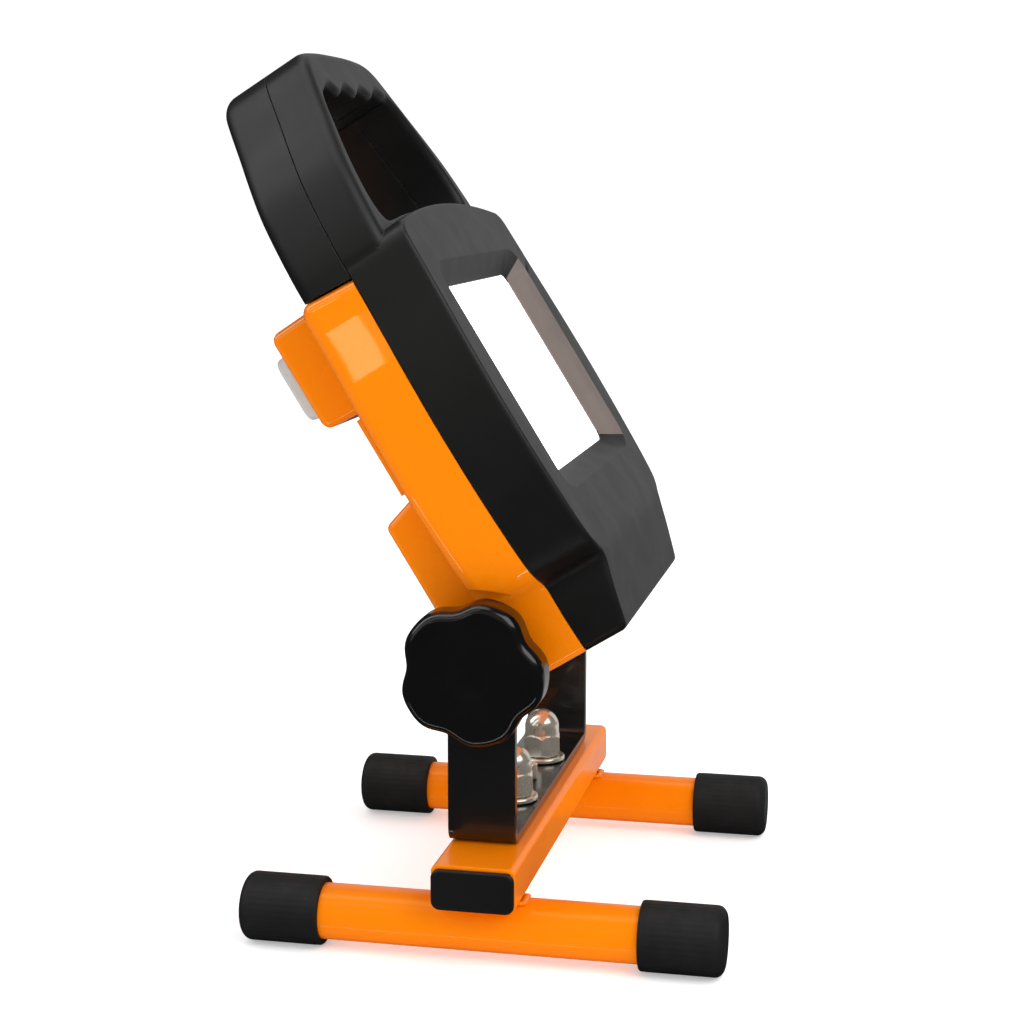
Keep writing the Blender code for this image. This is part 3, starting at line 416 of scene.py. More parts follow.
def make_finishes():
    """One finish for each material slot of the record, and a few for pieces made only here."""
    looks = {}
    orange = Finish("orange_powder_paint", (0.85, 0.202, 0.0008), 0.30, specular=0.4, coat=0.14,
                    coat_roughness=0.06)
    orange.mottle(38, 0.35, (0.79, 0.170, 0.001)).wear((0.42, 0.09, 0.006), 0.5).gloss(70, 0.28, 0.33)
    orange.round_edges(0.5).grain(orange.noise(420, 2.0), 0.012)
    looks["orange_paint"] = orange
    casting = Finish("orange_cast_paint", (0.83, 0.198, 0.0008), 0.28, specular=0.4, coat=0.7,
                     coat_roughness=0.03)
    casting.mottle(30, 0.3, (0.77, 0.178, 0.001)).wear((0.44, 0.095, 0.006), 0.4).gloss(55, 0.25, 0.30)
    casting.round_edges(0.6).grain(casting.noise(330, 2.0), 0.008)
    looks["orange_casting"] = casting
    for paint in (orange, casting):
        paint.shader.inputs["Specular Tint"].default_value = (1.0, 0.55, 0.08, 1.0)

    plastic = Finish("black_moulded_plastic", (0.0042, 0.0043, 0.0044), 0.46, specular=0.42)
    plastic.mottle(60, 0.5, (0.006, 0.006, 0.0062)).wear((0.03, 0.03, 0.031), 0.5).gloss(90, 0.44, 0.49)
    plastic.round_edges(0.5).grain(plastic.noise(2600, 2.0), 0.02, 0.5)
    looks["black_plastic"] = plastic
    knob = Finish("black_gloss_plastic", (0.0022, 0.0022, 0.0023), 0.16, specular=0.5)
    knob.mottle(80, 0.5, (0.0035, 0.0035, 0.0036)).wear((0.02, 0.02, 0.021), 0.4).gloss(120, 0.15, 0.2)
    knob.round_edges(0.4).grain(knob.noise(900, 2.0), 0.006, 0.6)
    looks["knob_plastic"] = knob
    enamel = Finish("black_enamel", (0.004, 0.004, 0.0043), 0.2, specular=0.5, coat=0.3)
    enamel.mottle(50, 0.5, (0.006, 0.006, 0.0062)).wear((0.09, 0.088, 0.084), 0.4).gloss(80, 0.16, 0.26)
    enamel.round_edges(0.4).grain(enamel.noise(520, 2.0), 0.01, 0.8)
    looks["black_paint"] = enamel
    rubber = Finish("black_rubber", (0.0068, 0.007, 0.0072), 0.62, specular=0.28)
    rubber.mottle(110, 0.6, (0.010, 0.0102, 0.0104)).gloss(200, 0.55, 0.72)
    rubber.round_edges(0.4).grain(rubber.noise(3200, 3.0), 0.03, 0.6)
    looks["black_rubber"] = rubber

    zinc = Finish("yellow_zinc", (0.86, 0.82, 0.72), 0.2, metallic=0.82)
    zinc.mottle(150, 0.5, (0.70, 0.62, 0.46)).gloss(260, 0.14, 0.3).round_edges(0.25)
    zinc.grain(zinc.noise(1500, 3.0), 0.008, 0.6)
    looks["zinc_steel"] = zinc
    for name, colour, rough in (("aluminium", (0.80, 0.80, 0.81), 0.32),
                                ("brass", (0.72, 0.52, 0.22), 0.28)):
        metal = Finish(f"{name}_metal", colour, rough, metallic=1.0)
        metal.mottle(120, 0.4, tuple(0.85 * c for c in colour))
        metal.gloss(400, rough - 0.06, rough + 0.1, (1, 8, 1))
        metal.round_edges(0.2).grain(metal.noise(900, 3.0, (1, 12, 1)), 0.01, 0.5)
        looks[name] = metal

    glass = Finish("lit_diffuser", (0.93, 0.94, 0.95), 0.35, specular=0.5)
    glass.mottle(20, 0.3, (0.90, 0.92, 0.94)).gloss(60, 0.3, 0.42).grain(glass.noise(700, 2.0), 0.02, 0.6)
    glass.shader.inputs["Emission Color"].default_value = (1.0, 0.985, 0.965, 1.0)
    glass.shader.inputs["Emission Strength"].default_value = 1.7
    looks["window_glass"] = glass
    phosphor = Finish("led_phosphor_gel", (0.95, 0.82, 0.22), 0.45)
    phosphor.mottle(400, 0.5, (0.90, 0.70, 0.12)).gloss(300, 0.4, 0.55).grain(phosphor.noise(800), 0.05)
    looks["led_phosphor"] = phosphor
    board = Finish("green_solder_mask", (0.02, 0.16, 0.06), 0.38)
    board.mottle(250, 0.6, (0.035, 0.24, 0.09)).gloss(300, 0.3, 0.45).grain(board.noise(900), 0.02)
    looks["green_board"] = board
    wrap = Finish("blue_cell_sleeve", (0.03, 0.17, 0.42), 0.35)
    wrap.mottle(90, 0.5, (0.04, 0.22, 0.50)).gloss(160, 0.28, 0.42).grain(wrap.noise(500), 0.03)
    looks["cell_wrap"] = wrap
    boot = Finish("grey_silicone", (0.50, 0.49, 0.47), 0.42, specular=0.4)
    boot.mottle(140, 0.5, (0.44, 0.43, 0.41)).gloss(220, 0.36, 0.5).round_edges(0.3)
    boot.grain(boot.noise(1800, 2.0), 0.02, 0.5)
    boot.shader.inputs["Subsurface Weight"].default_value = 0.4
    boot.shader.inputs["Subsurface Radius"].default_value = (0.003, 0.003, 0.003)
    looks["grey_boot"] = boot

    # Painted reflection: this finish's pinkish-brown colour stands in for the lit window's light reflected on the
    # recess's black plastic walls
    recess_reflection_paint = Finish("recess_wall_painted_reflection", (0.16, 0.125, 0.11), 0.38, specular=0.4)
    recess_reflection_paint.mottle(70, 0.5, (0.13, 0.10, 0.09)).gloss(90, 0.34, 0.46).round_edges(0.4)
    recess_reflection_paint.grain(recess_reflection_paint.noise(2200, 2.0), 0.015, 0.5)
    looks["window_frame"] = recess_reflection_paint
    return {name: look.material for name, look in looks.items()}


LOOKS = make_finishes()


# ---------------------------------------------------------------- stand

def make_crossbar():
    low, high = node_box("crossbar")
    width, height = high.y - low.y, high.z - low.z
    middle = (low + high) / 2

    def section(by, radius):
        return rounded_rectangle(width - 2 * by, height - 2 * by, radius - by * 0.5, (middle.y, middle.z))

    edge = 0.25
    outer, inner = section(0, 2.2), section(1.5, 1.6)
    lip_out, lip_in = section(edge, 2.2), section(1.5 - edge, 1.6)
    rings = [ring_x(outline, x) for outline, x in (
        (outer, low.x + edge), (outer, high.x - edge), (lip_out, high.x), (lip_in, high.x),
        (inner, high.x - edge), (inner, low.x + edge), (lip_in, low.x), (lip_out, low.x))]
    bar = solid(loft(rings, closed=True))
    holes = []
    for side, _ in SIDES:
        bolt_low, bolt_high = node_box(f"base_bolt_{side}")
        x = (bolt_low.x + bolt_high.x) / 2
        holes += [drill(BOLT_BORE, -8, 8, centre=(x, middle.y, z)) for z in (low.z - 5, high.z + 5)]
    combine(bar, holes)
    piece("bar_tube", bar, "stand", "orange_paint", ["crossbar"])
    for side, sx in SIDES:
        make_bar_plug(side, sx, middle)


def make_bar_plug(side, sx, bar_middle):
    """A push-in end plug with a flat, soft-edged face."""
    low, high = node_box(f"crossbar_plug_{side}")
    face = high.x if sx > 0 else -low.x
    width, height = high.y - low.y, high.z - low.z
    middle = (low + high) / 2
    seat = face - 1.3

    def section(by):
        return rounded_rectangle(width - 2 * by, height - 2 * by, 3.0, (middle.y, middle.z))

    spigot = rounded_rectangle(24.0, 11.2, 1.6, (bar_middle.y, bar_middle.z))
    steps = [(spigot, face - 14), (spigot, seat), (section(0), seat)]
    steps += [(section(by), face - depth) for depth, by in reversed(quarter(0.8, 0.8, 5))]
    rings = [ring_x(outline, sx * x) for outline, x in steps]
    piece(f"bar_plug_{side}", loft(rings), "stand", "black_plastic", [f"crossbar_plug_{side}"])


def make_feet():
    for side, _ in SIDES:
        low, high = node_box(f"foot_tube_{side}")
        middle = (low + high) / 2
        r = (high.x - low.x) / 2
        half = (high.y - low.y) / 2
        bore, edge = r - 1.2, 0.2
        profile = [(bore, -half + edge), (bore + edge, -half), (r - edge, -half), (r, -half + edge),
                   (r, half - edge), (r - edge, half), (bore + edge, half), (bore, half - edge)]
        tube = turned(profile, 96, "Y", (middle.x, middle.y, middle.z), closed=True)
        piece(f"foot_rail_{side}", tube, "stand", "orange_paint", [f"foot_tube_{side}"])
        for end, turn in (("front", -1), ("rear", 1)):
            make_cap(side, end, turn, r)


def make_cap(side, end, turn, tube_r):
    """A ribbed rubber cap, rounded at its closed end and with a lip at its mouth."""
    low, high = node_box(f"foot_cap_{side}_{end}")
    middle = (low + high) / 2
    r = (high.z - low.z) / 2
    length = high.y - low.y
    bore = tube_r + 0.15

    def ribs(radius, place, a):
        """Shallow ribs on the cap's outside, faded out at both ends."""
        if radius < bore + 0.3:
            return radius
        h = turn * place + length / 2
        along = min(1.0, max(0.0, (h - 2.2) / 1.2), max(0.0, (length - 3.4 - h) / 2.0))
        return radius - 0.07 * along * (0.5 + 0.5 * math.cos(36 * a)) ** 2

    outside = [(0, length - 0.15), (r * 0.35, length - 0.12), (r * 0.55, length - 0.05)]
    outside += [(r - inward, length - depth) for depth, inward in quarter(3.2, 3.6, 8)]
    outside += [(r, h) for h in (length - 3.8, length - 5.4, length * 0.5, 3.4, 2.4, 2.2)]
    outside += [(r - 0.05, 2.0), (r - 0.05, 1.0), (r - 0.12, 0.5), (r - 0.45, 0.08), (r - 0.8, 0.0)]
    inside = [(bore, 0.0), (bore, length - 3.0), (0, length - 3.0)]
    profile = [(radius, turn * (h - length / 2)) for radius, h in outside + inside]
    cap = turned(profile, 288, "Y", tuple(middle), ribs)
    piece(f"foot_boot_{side}_{end}", cap, "stand", "black_rubber", [f"foot_cap_{side}_{end}"])


def make_welds():
    """Beads in the corners between the bar and the tubes that carry it."""
    bar_low, bar_high = node_box("crossbar")
    for side, _ in SIDES:
        low, high = node_box(f"foot_tube_{side}")
        x, axis_z, r = (low.x + high.x) / 2, (low.z + high.z) / 2, (high.x - low.x) / 2
        reach = 3.9
        z = (axis_z + math.sqrt(r * r - reach * reach) + bar_low.z) / 2
        path = []
        for sx in (-1, 1):
            y0, y1 = (bar_low.y - 0.2, bar_high.y + 0.2)[::sx]
            path += [Vector((x + sx * reach, y0 + (y1 - y0) * k / 40, z)) for k in range(41)]
        rings = []
        for k, spot in enumerate(path):
            swell = 0.72 + 0.06 * math.sin(k * 1.9) + 0.04 * math.sin(k * 0.7)
            along = (path[(k + 1) % len(path)] - path[k - 1]).normalized()
            across = along.cross(Vector((0, 0, 1))).normalized()
            rings.append([spot + across * (1.5 * swell * math.cos(a)) + Vector((0, 0, swell * math.sin(a)))
                          for a in (math.tau * j / 12 for j in range(12))])
        piece(f"weld_{side}", loft(rings, closed=True), "stand", "orange_paint")


def make_bracket():
    """A flat strip bent to a U with round arm ends, rounded along its edges."""
    low, high = node_box("bracket")
    arm_x, start, top = high.x, low.z, high.z
    width, thick, bend = high.y - low.y, 3.0, 5.0
    outer = [(arm_x - bend + bend * math.sin(a), start + bend * (1 - math.cos(a)))
             for a in (math.radians(9 * k) for k in range(11))]
    inner = [(arm_x - bend + (bend - thick) * math.sin(a), start + bend - (bend - thick) * math.cos(a))
             for a in (math.radians(90 - 9 * k) for k in range(11))]
    half = outer + [(arm_x, top), (arm_x - thick, top)] + inner
    outline = half + [(-x, z) for x, z in reversed(half)]
    y_mid = (low.y + high.y) / 2
    bm = loft([[(x, y, z) for x, z in outline] for y in (y_mid - width / 2, y_mid + width / 2)])
    tips = [e for e in bm.edges if all(abs(v.co.z - top) < 0.01 for v in e.verts)
            and abs(e.verts[0].co.y - e.verts[1].co.y) < 0.01]
    bmesh.ops.bevel(bm, geom=tips, offset=width / 2 - 0.05, segments=20, profile=0.5, affect="EDGES")
    strip = solid(bm)
    holes = [drill(STUD_BORE, -arm_x - 3, arm_x + 3, axis="X", centre=AXIS_SPOT)]
    for side, _ in SIDES:
        bolt_low, bolt_high = node_box(f"base_bolt_{side}")
        spot = (bolt_low + bolt_high) / 2
        holes.append(drill(BOLT_BORE, start - 2, start + 5, centre=(spot.x, spot.y, 0)))
    combine(strip, holes)
    soften(strip, 0.55, 50.0, 3)
    piece("arm_strip", strip, "stand", "black_paint", ["bracket"])


def hexagon(r, centre, turn=0.0):
    """A hexagon's corners at radius r, the first one at turn degrees."""
    return [(centre[0] + r * math.cos(a), centre[1] + r * math.sin(a))
            for a in (math.radians(60 * k + turn) for k in range(6))]


def hexagon_nut(low, high, centre, turn, chamfer):
    """An M8 hexagon, 13 mm across its flats, with its corners turned off at both ends."""
    flat = 6.5
    r = 2 * flat / math.sqrt(3)
    body = solid(prism(hexagon(r, centre, turn), low, high))
    cone = [(0, low), (flat - 0.2, low), (r + 0.1, low + chamfer), (r + 0.1, high - chamfer),
            (flat - 0.2, high), (0, high)]
    return combine(body, [solid(turned(cone, 72, centre=centre))], "INTERSECT")


def make_fasteners():
    for side, _ in SIDES:
        low, high = node_box(f"base_washer_{side}")
        spot = ((low.x + high.x) / 2, (low.y + high.y) / 2, 0)
        r = (high.x - low.x) / 2
        washer = [(BOLT_BORE, low.z + 0.15), (BOLT_BORE + 0.15, low.z), (r - 0.3, low.z), (r, low.z + 0.3),
                  (r, high.z - 0.5), (r - 0.2, high.z - 0.15), (r - 0.5, high.z),
                  (BOLT_BORE + 0.15, high.z), (BOLT_BORE, high.z - 0.15)]
        piece(f"washer_{side}", turned(washer, 72, centre=spot, closed=True), "stand", "zinc_steel",
              [f"base_washer_{side}"])

        low, high = node_box(f"dome_nut_{side}")
        dome_r, neck = 6.3, 8.0
        nut = hexagon_nut(low.z, low.z + neck, spot, 10.0, 1.1)
        base = high.z - dome_r
        dome = [(0, low.z + 4), (dome_r - 0.4, low.z + 4), (dome_r - 0.4, low.z + neck - 0.4),
                (dome_r, low.z + neck + 0.4), (dome_r, base)]
        dome += [(dome_r * math.cos(a), base + dome_r * math.sin(a))
                 for a in (math.radians(6 * k) for k in range(1, 15))] + [(0, high.z)]
        thread = [(0, low.z - 2), (4.3, low.z - 2), (4.3, high.z - 4.5), (0, high.z - 3)]
        combine(nut, [solid(turned(dome, 72, centre=spot))], "UNION")
        combine(nut, [solid(turned(thread, 48, centre=spot))])
        piece(f"cap_nut_{side}", nut, "stand", "zinc_steel", [f"dome_nut_{side}"], angle=28)

        low, high = node_box(f"base_bolt_{side}")
        bolt = hexagon_nut(low.z, low.z + 5.3, spot, 0.0, 0.8)
        shank = [(0, low.z + 3), (4.0, low.z + 3), (4.0, high.z - 0.6), (3.4, high.z), (0, high.z)]
        combine(bolt, [solid(turned(shank, 48, centre=spot))], "UNION")
        piece(f"long_bolt_{side}", bolt, "stand", "zinc_steel", [f"base_bolt_{side}"], angle=28)

    low, high = node_box("bracket_screw")
    spot = ((low.x + high.x) / 2, (low.y + high.y) / 2, 0)
    r = (high.x - low.x) / 2
    head = [(0, low.z), (r - 0.2, low.z), (r, low.z + 0.2)]
    head += [(r - inward, high.z - depth) for depth, inward in reversed(quarter(0.6, 0.6, 6))]
    screw = solid(turned(head + [(0, high.z)], 72, centre=spot))
    combine(screw, [solid(prism(hexagon(1.9, spot), high.z - 2.4, high.z + 1))])
    piece("strip_screw", screw, "stand", "zinc_steel", ["bracket_screw"])


def cross_socket(spot, z, size):
    """A tapered cross to sink into a screw's head: its mouth is at z and it narrows upwards."""
    def arm(turn):
        rings = []
        for depth, long, wide in ((-0.4, size, size * 0.24), (0.0, size, size * 0.24),
                                  (size * 0.8, size * 0.5, size * 0.16)):
            rings.append([(spot[0] + x, spot[1] + y, z + depth) for x, y in (
                (long, wide), (-long, wide), (-long, -wide), (long, -wide))])
        bm = loft(rings)
        bmesh.ops.rotate(bm, cent=(spot[0], spot[1], z), matrix=Matrix.Rotation(math.radians(turn), 3, "Z"),
                         verts=bm.verts)
        return solid(bm)
    return combine(arm(20), [arm(110)], "UNION")


# ---------------------------------------------------------------- head shells

# Planes and outlines in the head frame. SIDE, HANDLE_SIDE and HOLE_SIDE are points on the right-hand half
# of the head, the handle above it and the hole in the handle, going up.
SEAM_Z = 31.1
FRONT_Z = 54.05
HOUSING_REAR_Z = 9.3
HANDLE_REAR_Z = 12.2
HANDLE_FRONT_Z = 47.0
LOWER_Y = -13.8
CORNER_R = 3.0
SIDE = [(61.2, LOWER_Y + CORNER_R), (62.6, 0.0), (62.8, 10.5), (66.6, 14.4), (70.6, 19.5), (73.6, 32.0),
        (76.0, 52.0), (76.8, 72.0), (75.8, 92.0), (73.8, 112.0), (72.4, 128.0)]
HANDLE_SIDE = [(71.6, 138.0), (69.4, 149.0), (65.6, 161.0), (59.4, 172.0), (51.4, 184.0), (43.6, 196.0),
               (39.0, 201.0), (31.0, 204.2), (16.0, 205.4), (0.0, 205.6)]
HOLE_SIDE = [(50.0, 139.4), (56.5, 141.0), (59.0, 146.0), (57.6, 155.0), (53.8, 165.0), (48.8, 174.0),
             (44.4, 182.0), (39.6, 187.0)]
# Depth and reach of the hole's rounded edges, and the finger grooves over it
FLARE = (3.4, 2.6)
GROOVE_PITCH = 19.0
GROOVE_DEPTH = 3.0
# The window's recess: widths and heights at the front face and at its bottom
WINDOW_Y = 76.4
WINDOW_OUTER = (121.0, 86.0)
WINDOW_INNER = (100.0, 71.0)
WINDOW_Z = 48.2
GAP = 0.3
BOX_JOIN_Z = HOUSING_REAR_Z - GAP
UPPER_BOX_Z = -9.9
LOWER_BOX_Z = -6.4
SWITCH_SPOT = (-33.0, 109.0)
PORT_SPOT = (33.0, 109.0)
SCREWS = {"case_screw": [(-64, 40, HOUSING_REAR_Z), (64, 40, HOUSING_REAR_Z), (-64, 118, HOUSING_REAR_Z),
                         (64, 118, HOUSING_REAR_Z)],
          "handle_screw": [(-65, 140, HANDLE_REAR_Z), (65, 140, HANDLE_REAR_Z)],
          "battery_screw": [(-51, 47, LOWER_BOX_Z), (51, 47, LOWER_BOX_Z)]}


def bottom_corner():
    """The rounded lower right-hand corner, from the bottom up to the start of SIDE."""
    x, y = SIDE[0]
    return [(x - CORNER_R * (1 - math.cos(a)), y - CORNER_R * math.sin(a))
            for a in (math.radians(90 - 11.25 * k) for k in range(8))]


def handle_side(low):
    """The right side of the handle above height low, as part of the head's whole side."""
    return [p for p in spline(SIDE + HANDLE_SIDE) if p[1] > low]


def housing_top(z):
    """The height of the housing's upper side, which falls a little towards the seam."""
    return 128.6 - 0.07 * (z - HOUSING_REAR_Z)


def crown(x):
    """The front shell's slightly arched upper edge."""
    return 140.5 - 6.6 * (x / 75.0) ** 2


def hand_hole():
    """The hole that the hand goes through, with finger grooves along its upper edge."""
    half, rim = HOLE_SIDE[-1][0], HOLE_SIDE[-1][1] + 0.6
    floor = [(12.5 * k, crown(12.5 * k) + 1.0) for k in range(4)]
    grooves = []
    for k in range(1, 41):
        x = half * (1 - k / 41)
        wave = (1 + math.cos(math.tau * (x / GROOVE_PITCH + 0.5))) / 2
        grooves.append((x, rim + GROOVE_DEPTH * wave))
    right = floor + spline(HOLE_SIDE) + grooves + [(0.0, rim)]
    return right + [(-x, y) for x, y in reversed(right[1:-1])]


def flared_hole(z, by):
    """The hand hole's ring at height z, widened by a distance everywhere but at its floor."""
    return [(x, max(y, crown(x) + 1.0), z) for x, y in inset(hand_hole(), -by)]


def chin_drop(y):
    """How far the front face has fallen back at height y: a slope with a soft start."""
    start, soft, slope = 13.0, 4.0, 0.275
    if y >= start + soft:
        return 0.0
    if y <= start - soft:
        return slope * (start - y)
    return slope * (start + soft - y) ** 2 / (4 * soft)


def make_bezel():
    """The black front shell: a raised face round the window, and the front half of the handle above."""
    top = [(x, crown(x)) for x in (66.6, 62, 58, 50, 44, 37, 30, 22, 15, 7, 0.0)]
    corner = [(72.3, 128.8), (72.1, 130.2), (71.5, 131.7), (70.6, 133.0), (69.3, 134.0), (68.0, 134.6)]
    face = mirrored(bottom_corner() + spline(SIDE) + corner + top)
    chin_z = 44.0
    levels = [(SEAM_Z + GAP / 2, 0.0), (chin_z, 0.0)]
    levels += [(FRONT_Z - d, by) for d, by in reversed(quarter(2.45, 1.4))]
    bm = loft([ring(inset(face, by), z) for z, by in levels])
    for k in range(13):  # cuts that let the face bend smoothly into the chin
        bmesh.ops.bisect_plane(bm, geom=bm.verts[:] + bm.edges[:] + bm.faces[:],
                               plane_co=(0, 17.0 - k * 8 / 12, 0), plane_no=(0, 1, 0))
    for v in bm.verts:
        if v.co.z > chin_z + 0.5:
            v.co.z -= chin_drop(v.co.y)
    shell = solid(bm)

    arch = mirrored([(70.5, 116.0), (71.3, 128.0)] + handle_side(132.0))
    levels = [(SEAM_Z + GAP / 2, 0.0)]
    levels += [(HANDLE_FRONT_Z - d, by) for d, by in reversed(quarter(4.6, 4.2, 9))]
    handle = solid(loft([ring(inset(arch, by), z) for z, by in levels]))

    funnel = solid(loft([ring(rounded_rectangle(*size, radius, (0, WINDOW_Y)), z) for size, radius, z in (
        (WINDOW_INNER, 4, WINDOW_Z - 0.6), (WINDOW_INNER, 4, WINDOW_Z),
        (WINDOW_OUTER, 10, FRONT_Z), (WINDOW_OUTER, 10, FRONT_Z + 2))]))
    rings = [flared_hole(SEAM_Z - 5, 0.0)]
    rings += [flared_hole(HANDLE_FRONT_Z - d, by) for d, by in reversed(quarter(*FLARE))]
    hole = solid(loft(rings + [flared_hole(FRONT_Z + 5, FLARE[1])]))
    groove = solid(prism(inset(face, 4.0), FRONT_Z - 0.45, FRONT_Z + 1))
    combine(groove, [solid(prism(inset(face, 4.5), FRONT_Z - 1, FRONT_Z + 2))])
    combine(shell, [handle], "UNION")
    combine(shell, [funnel, hole, groove])
    obj = piece("front_shell", shell, "head", "black_plastic", ["front_bezel"], HEAD,
                more_looks=["window_frame"])

    # The recess's side walls, up to the diagonals at its corners, take the second look, whose pinkish-brown colour
    # is a painted reflection of the lit window
    back = HEAD.inverted()
    for polygon in obj.data.polygons:
        spot = back @ polygon.center
        beside = WINDOW_OUTER[0] / 2 - abs(spot.x)
        above = WINDOW_OUTER[1] / 2 - abs(spot.y - WINDOW_Y)
        if 0 < beside < above and WINDOW_Z - 1 < spot.z < FRONT_Z - 0.05:
            polygon.material_index = 1


def make_handle_rear():
    half = 72.2
    rings = []
    for z, by in [(HANDLE_REAR_Z + d, by) for d, by in quarter(5.4, 4.6, 9)] + [(SEAM_Z - GAP / 2, 0.0)]:
        low = housing_top(z) + GAP
        outer = inset(mirrored([(half, low)] + handle_side(132.0)), by)
        rings.append(ring([(half - by, low)] + outer[1:-1] + [(by - half, low)], z))
    rear = solid(loft(rings))
    rings = [flared_hole(HANDLE_REAR_Z - 5, FLARE[1])]
    rings += [flared_hole(HANDLE_REAR_Z + d, by) for d, by in quarter(*FLARE)]
    hole = solid(loft(rings + [flared_hole(SEAM_Z + 5, 0.0)]))
    combine(rear, [hole] + screw_wells("handle_screw"))
    piece("handle_back", rear, "head", "black_plastic", ["handle_rear"], HEAD)


def body_outline(top):
    """The housing's outline, with its upper corners at height top."""
    side = [p for p in spline(SIDE) if p[1] < top - 8]
    corner = rounded([(73.4, top - 12, 0), (72.9, top, 3.6), (0, top, 0)], 8)[1:-1]
    return mirrored(bottom_corner() + side + corner)


def screw_wells(kind):
    """Cutters for the round pockets that the screws of one kind sit in, in the head frame."""
    profile = [(0, -2), (3.9, -2), (3.9, 0), (3.4, 0.4), (3.4, 1.6), (0, 1.6)]
    return [solid(turned(profile, 48, centre=spot)) for spot in SCREWS[kind]]


def make_housing():
    levels = [(HOUSING_REAR_Z + d, by) for d, by in quarter(5.2, 5.0, 8)] + [(SEAM_Z - GAP / 2, 0.0)]
    shell = solid(loft([ring(shrink(body_outline(housing_top(z)), by), z) for z, by in levels]))
    reliefs = [drill(KNOB_R + 1.5, sx * 76 - 9.2, sx * 76 + 9.2, 120, "X") for _, sx in SIDES]
    combine(shell, reliefs + screw_wells("case_screw"))
    piece("rear_case", shell, "head", "orange_casting", ["housing"], HEAD)


def make_heat_sink():
    """Cooling fins on a thin base, tapering to their tips, with a wider foot outside the first and last."""
    base_z, tip_z = BOX_JOIN_Z - 1.6, 1.2
    count, pitch, width = 11, 10.0, 2.2
    half = (count - 1) / 2 * pitch + width
    corners = [(half, BOX_JOIN_Z, 0), (-half, BOX_JOIN_Z, 0)]
    for k in range(count):
        x = (k - (count - 1) / 2) * pitch
        before = width if k == 0 else width / 2
        after = width if k == count - 1 else width / 2
        corners += [(x - before, base_z, 0.5), (x - width / 3, tip_z, 0.5), (x + width / 3, tip_z, 0.5),
                    (x + after, base_z, 0.5)]
    outline = rounded(corners, 4)
    sink = solid(loft([[(x, y, z) for x, z in outline] for y in (60.2, 89.2)]))
    piece("cooling_fins", sink, "head", "orange_casting", ["heat_sink"], HEAD)


def make_switch_box():
    """A box rounded everywhere but where it meets the housing, open inside, with holes for what it holds."""
    low, high, rear, half, wall = 91.8, 127.9, UPPER_BOX_Z, 52.0, 2.2
    outline = [(low - 1.2, BOX_JOIN_Z), (high + 0.6, BOX_JOIN_Z), (high, rear), (low, rear)]
    bm = loft([ring_x(outline, -half), ring_x(outline, half)])
    edges = [e for e in bm.edges if not all(v.co.z > BOX_JOIN_Z - 0.01 for v in e.verts)]
    bmesh.ops.bevel(bm, geom=edges, offset=3.0, segments=8, profile=0.5, affect="EDGES", clamp_overlap=True)
    box = solid(bm)
    pocket = solid(block((wall - half, low + wall, rear + wall), (half - wall, high - wall, BOX_JOIN_Z + 2)))
    slot = solid(block((SWITCH_SPOT[0] - 10.5, SWITCH_SPOT[1] - 9.5, rear - 2),
                       (SWITCH_SPOT[0] + 10.5, SWITCH_SPOT[1] + 9.5, rear + 5)))
    port = solid(turned([(0, -2), (5.4, -2), (5.4, 0), (5.0, 0.4), (5.0, 5), (0, 5)], 64,
                        centre=(*PORT_SPOT, rear)))
    combine(box, [pocket, slot, port])
    piece("upper_box", box, "head", "orange_casting", ["switch_box"], HEAD)


def make_battery_box():
    """A box with a sloping top, drawn in towards both ends and its rear, where the far edge is rounded."""
    low, top, rear, half = LOWER_Y + 1.2, 58.6, LOWER_BOX_Z, 60.5
    outline = rounded([(low, BOX_JOIN_Z, 0), (top, BOX_JOIN_Z, 0), (top - 0.6, BOX_JOIN_Z - 2.2, 0.5),
                       (top - 4.6, rear, 2.6), (low, rear, 2.4)], 7)
    middle = (top + low) / 2
    ends = []
    for depth, by in quarter(2.4, 2.4, 7):
        wide = 1 - by / (middle - low)
        ends.append((half - depth, [(middle + (y - middle) * wide,
                                     z + by * max(0, (BOX_JOIN_Z - z) / (BOX_JOIN_Z - rear)))
                                    for y, z in outline]))
    rings = [ring_x(end, -x) for x, end in ends] + [ring_x(end, x) for x, end in reversed(ends)]
    box = solid(loft(rings))
    combine(box, [drill(STUD_BORE, -64, 64, axis="X")] + screw_wells("battery_screw"))
    piece("lower_box", box, "head", "orange_casting", ["battery_box"], HEAD)


def make_screws():
    for kind, spots in SCREWS.items():
        for k, (x, y, z) in enumerate(spots, 1):
            profile = [(r, z + depth) for r, depth in (
                (0, 1.3), (3.0, 1.3), (3.0, 0.55), (2.9, 0.35), (2.5, 0.12), (1.8, 0.02), (0, 0))]
            screw = solid(turned(profile, 64, centre=(x, y, 0)))
            combine(screw, [cross_socket((x, y), z, 1.5)])
            piece(f"{kind}_head_{k}", screw, "head", "zinc_steel", [f"{kind}_{k}"], HEAD)


def make_lens():
    rings = [ring(rounded_rectangle(108 - 2 * by, 79 - 2 * by, 3.7, (0, WINDOW_Y)), z)
             for by, z in ((0.6, 44.7), (0, 45.2), (0, 47.2), (0.5, 47.7))]
    piece("diffuser", loft(rings), "head", "window_glass", ["lens_glass"], HEAD)


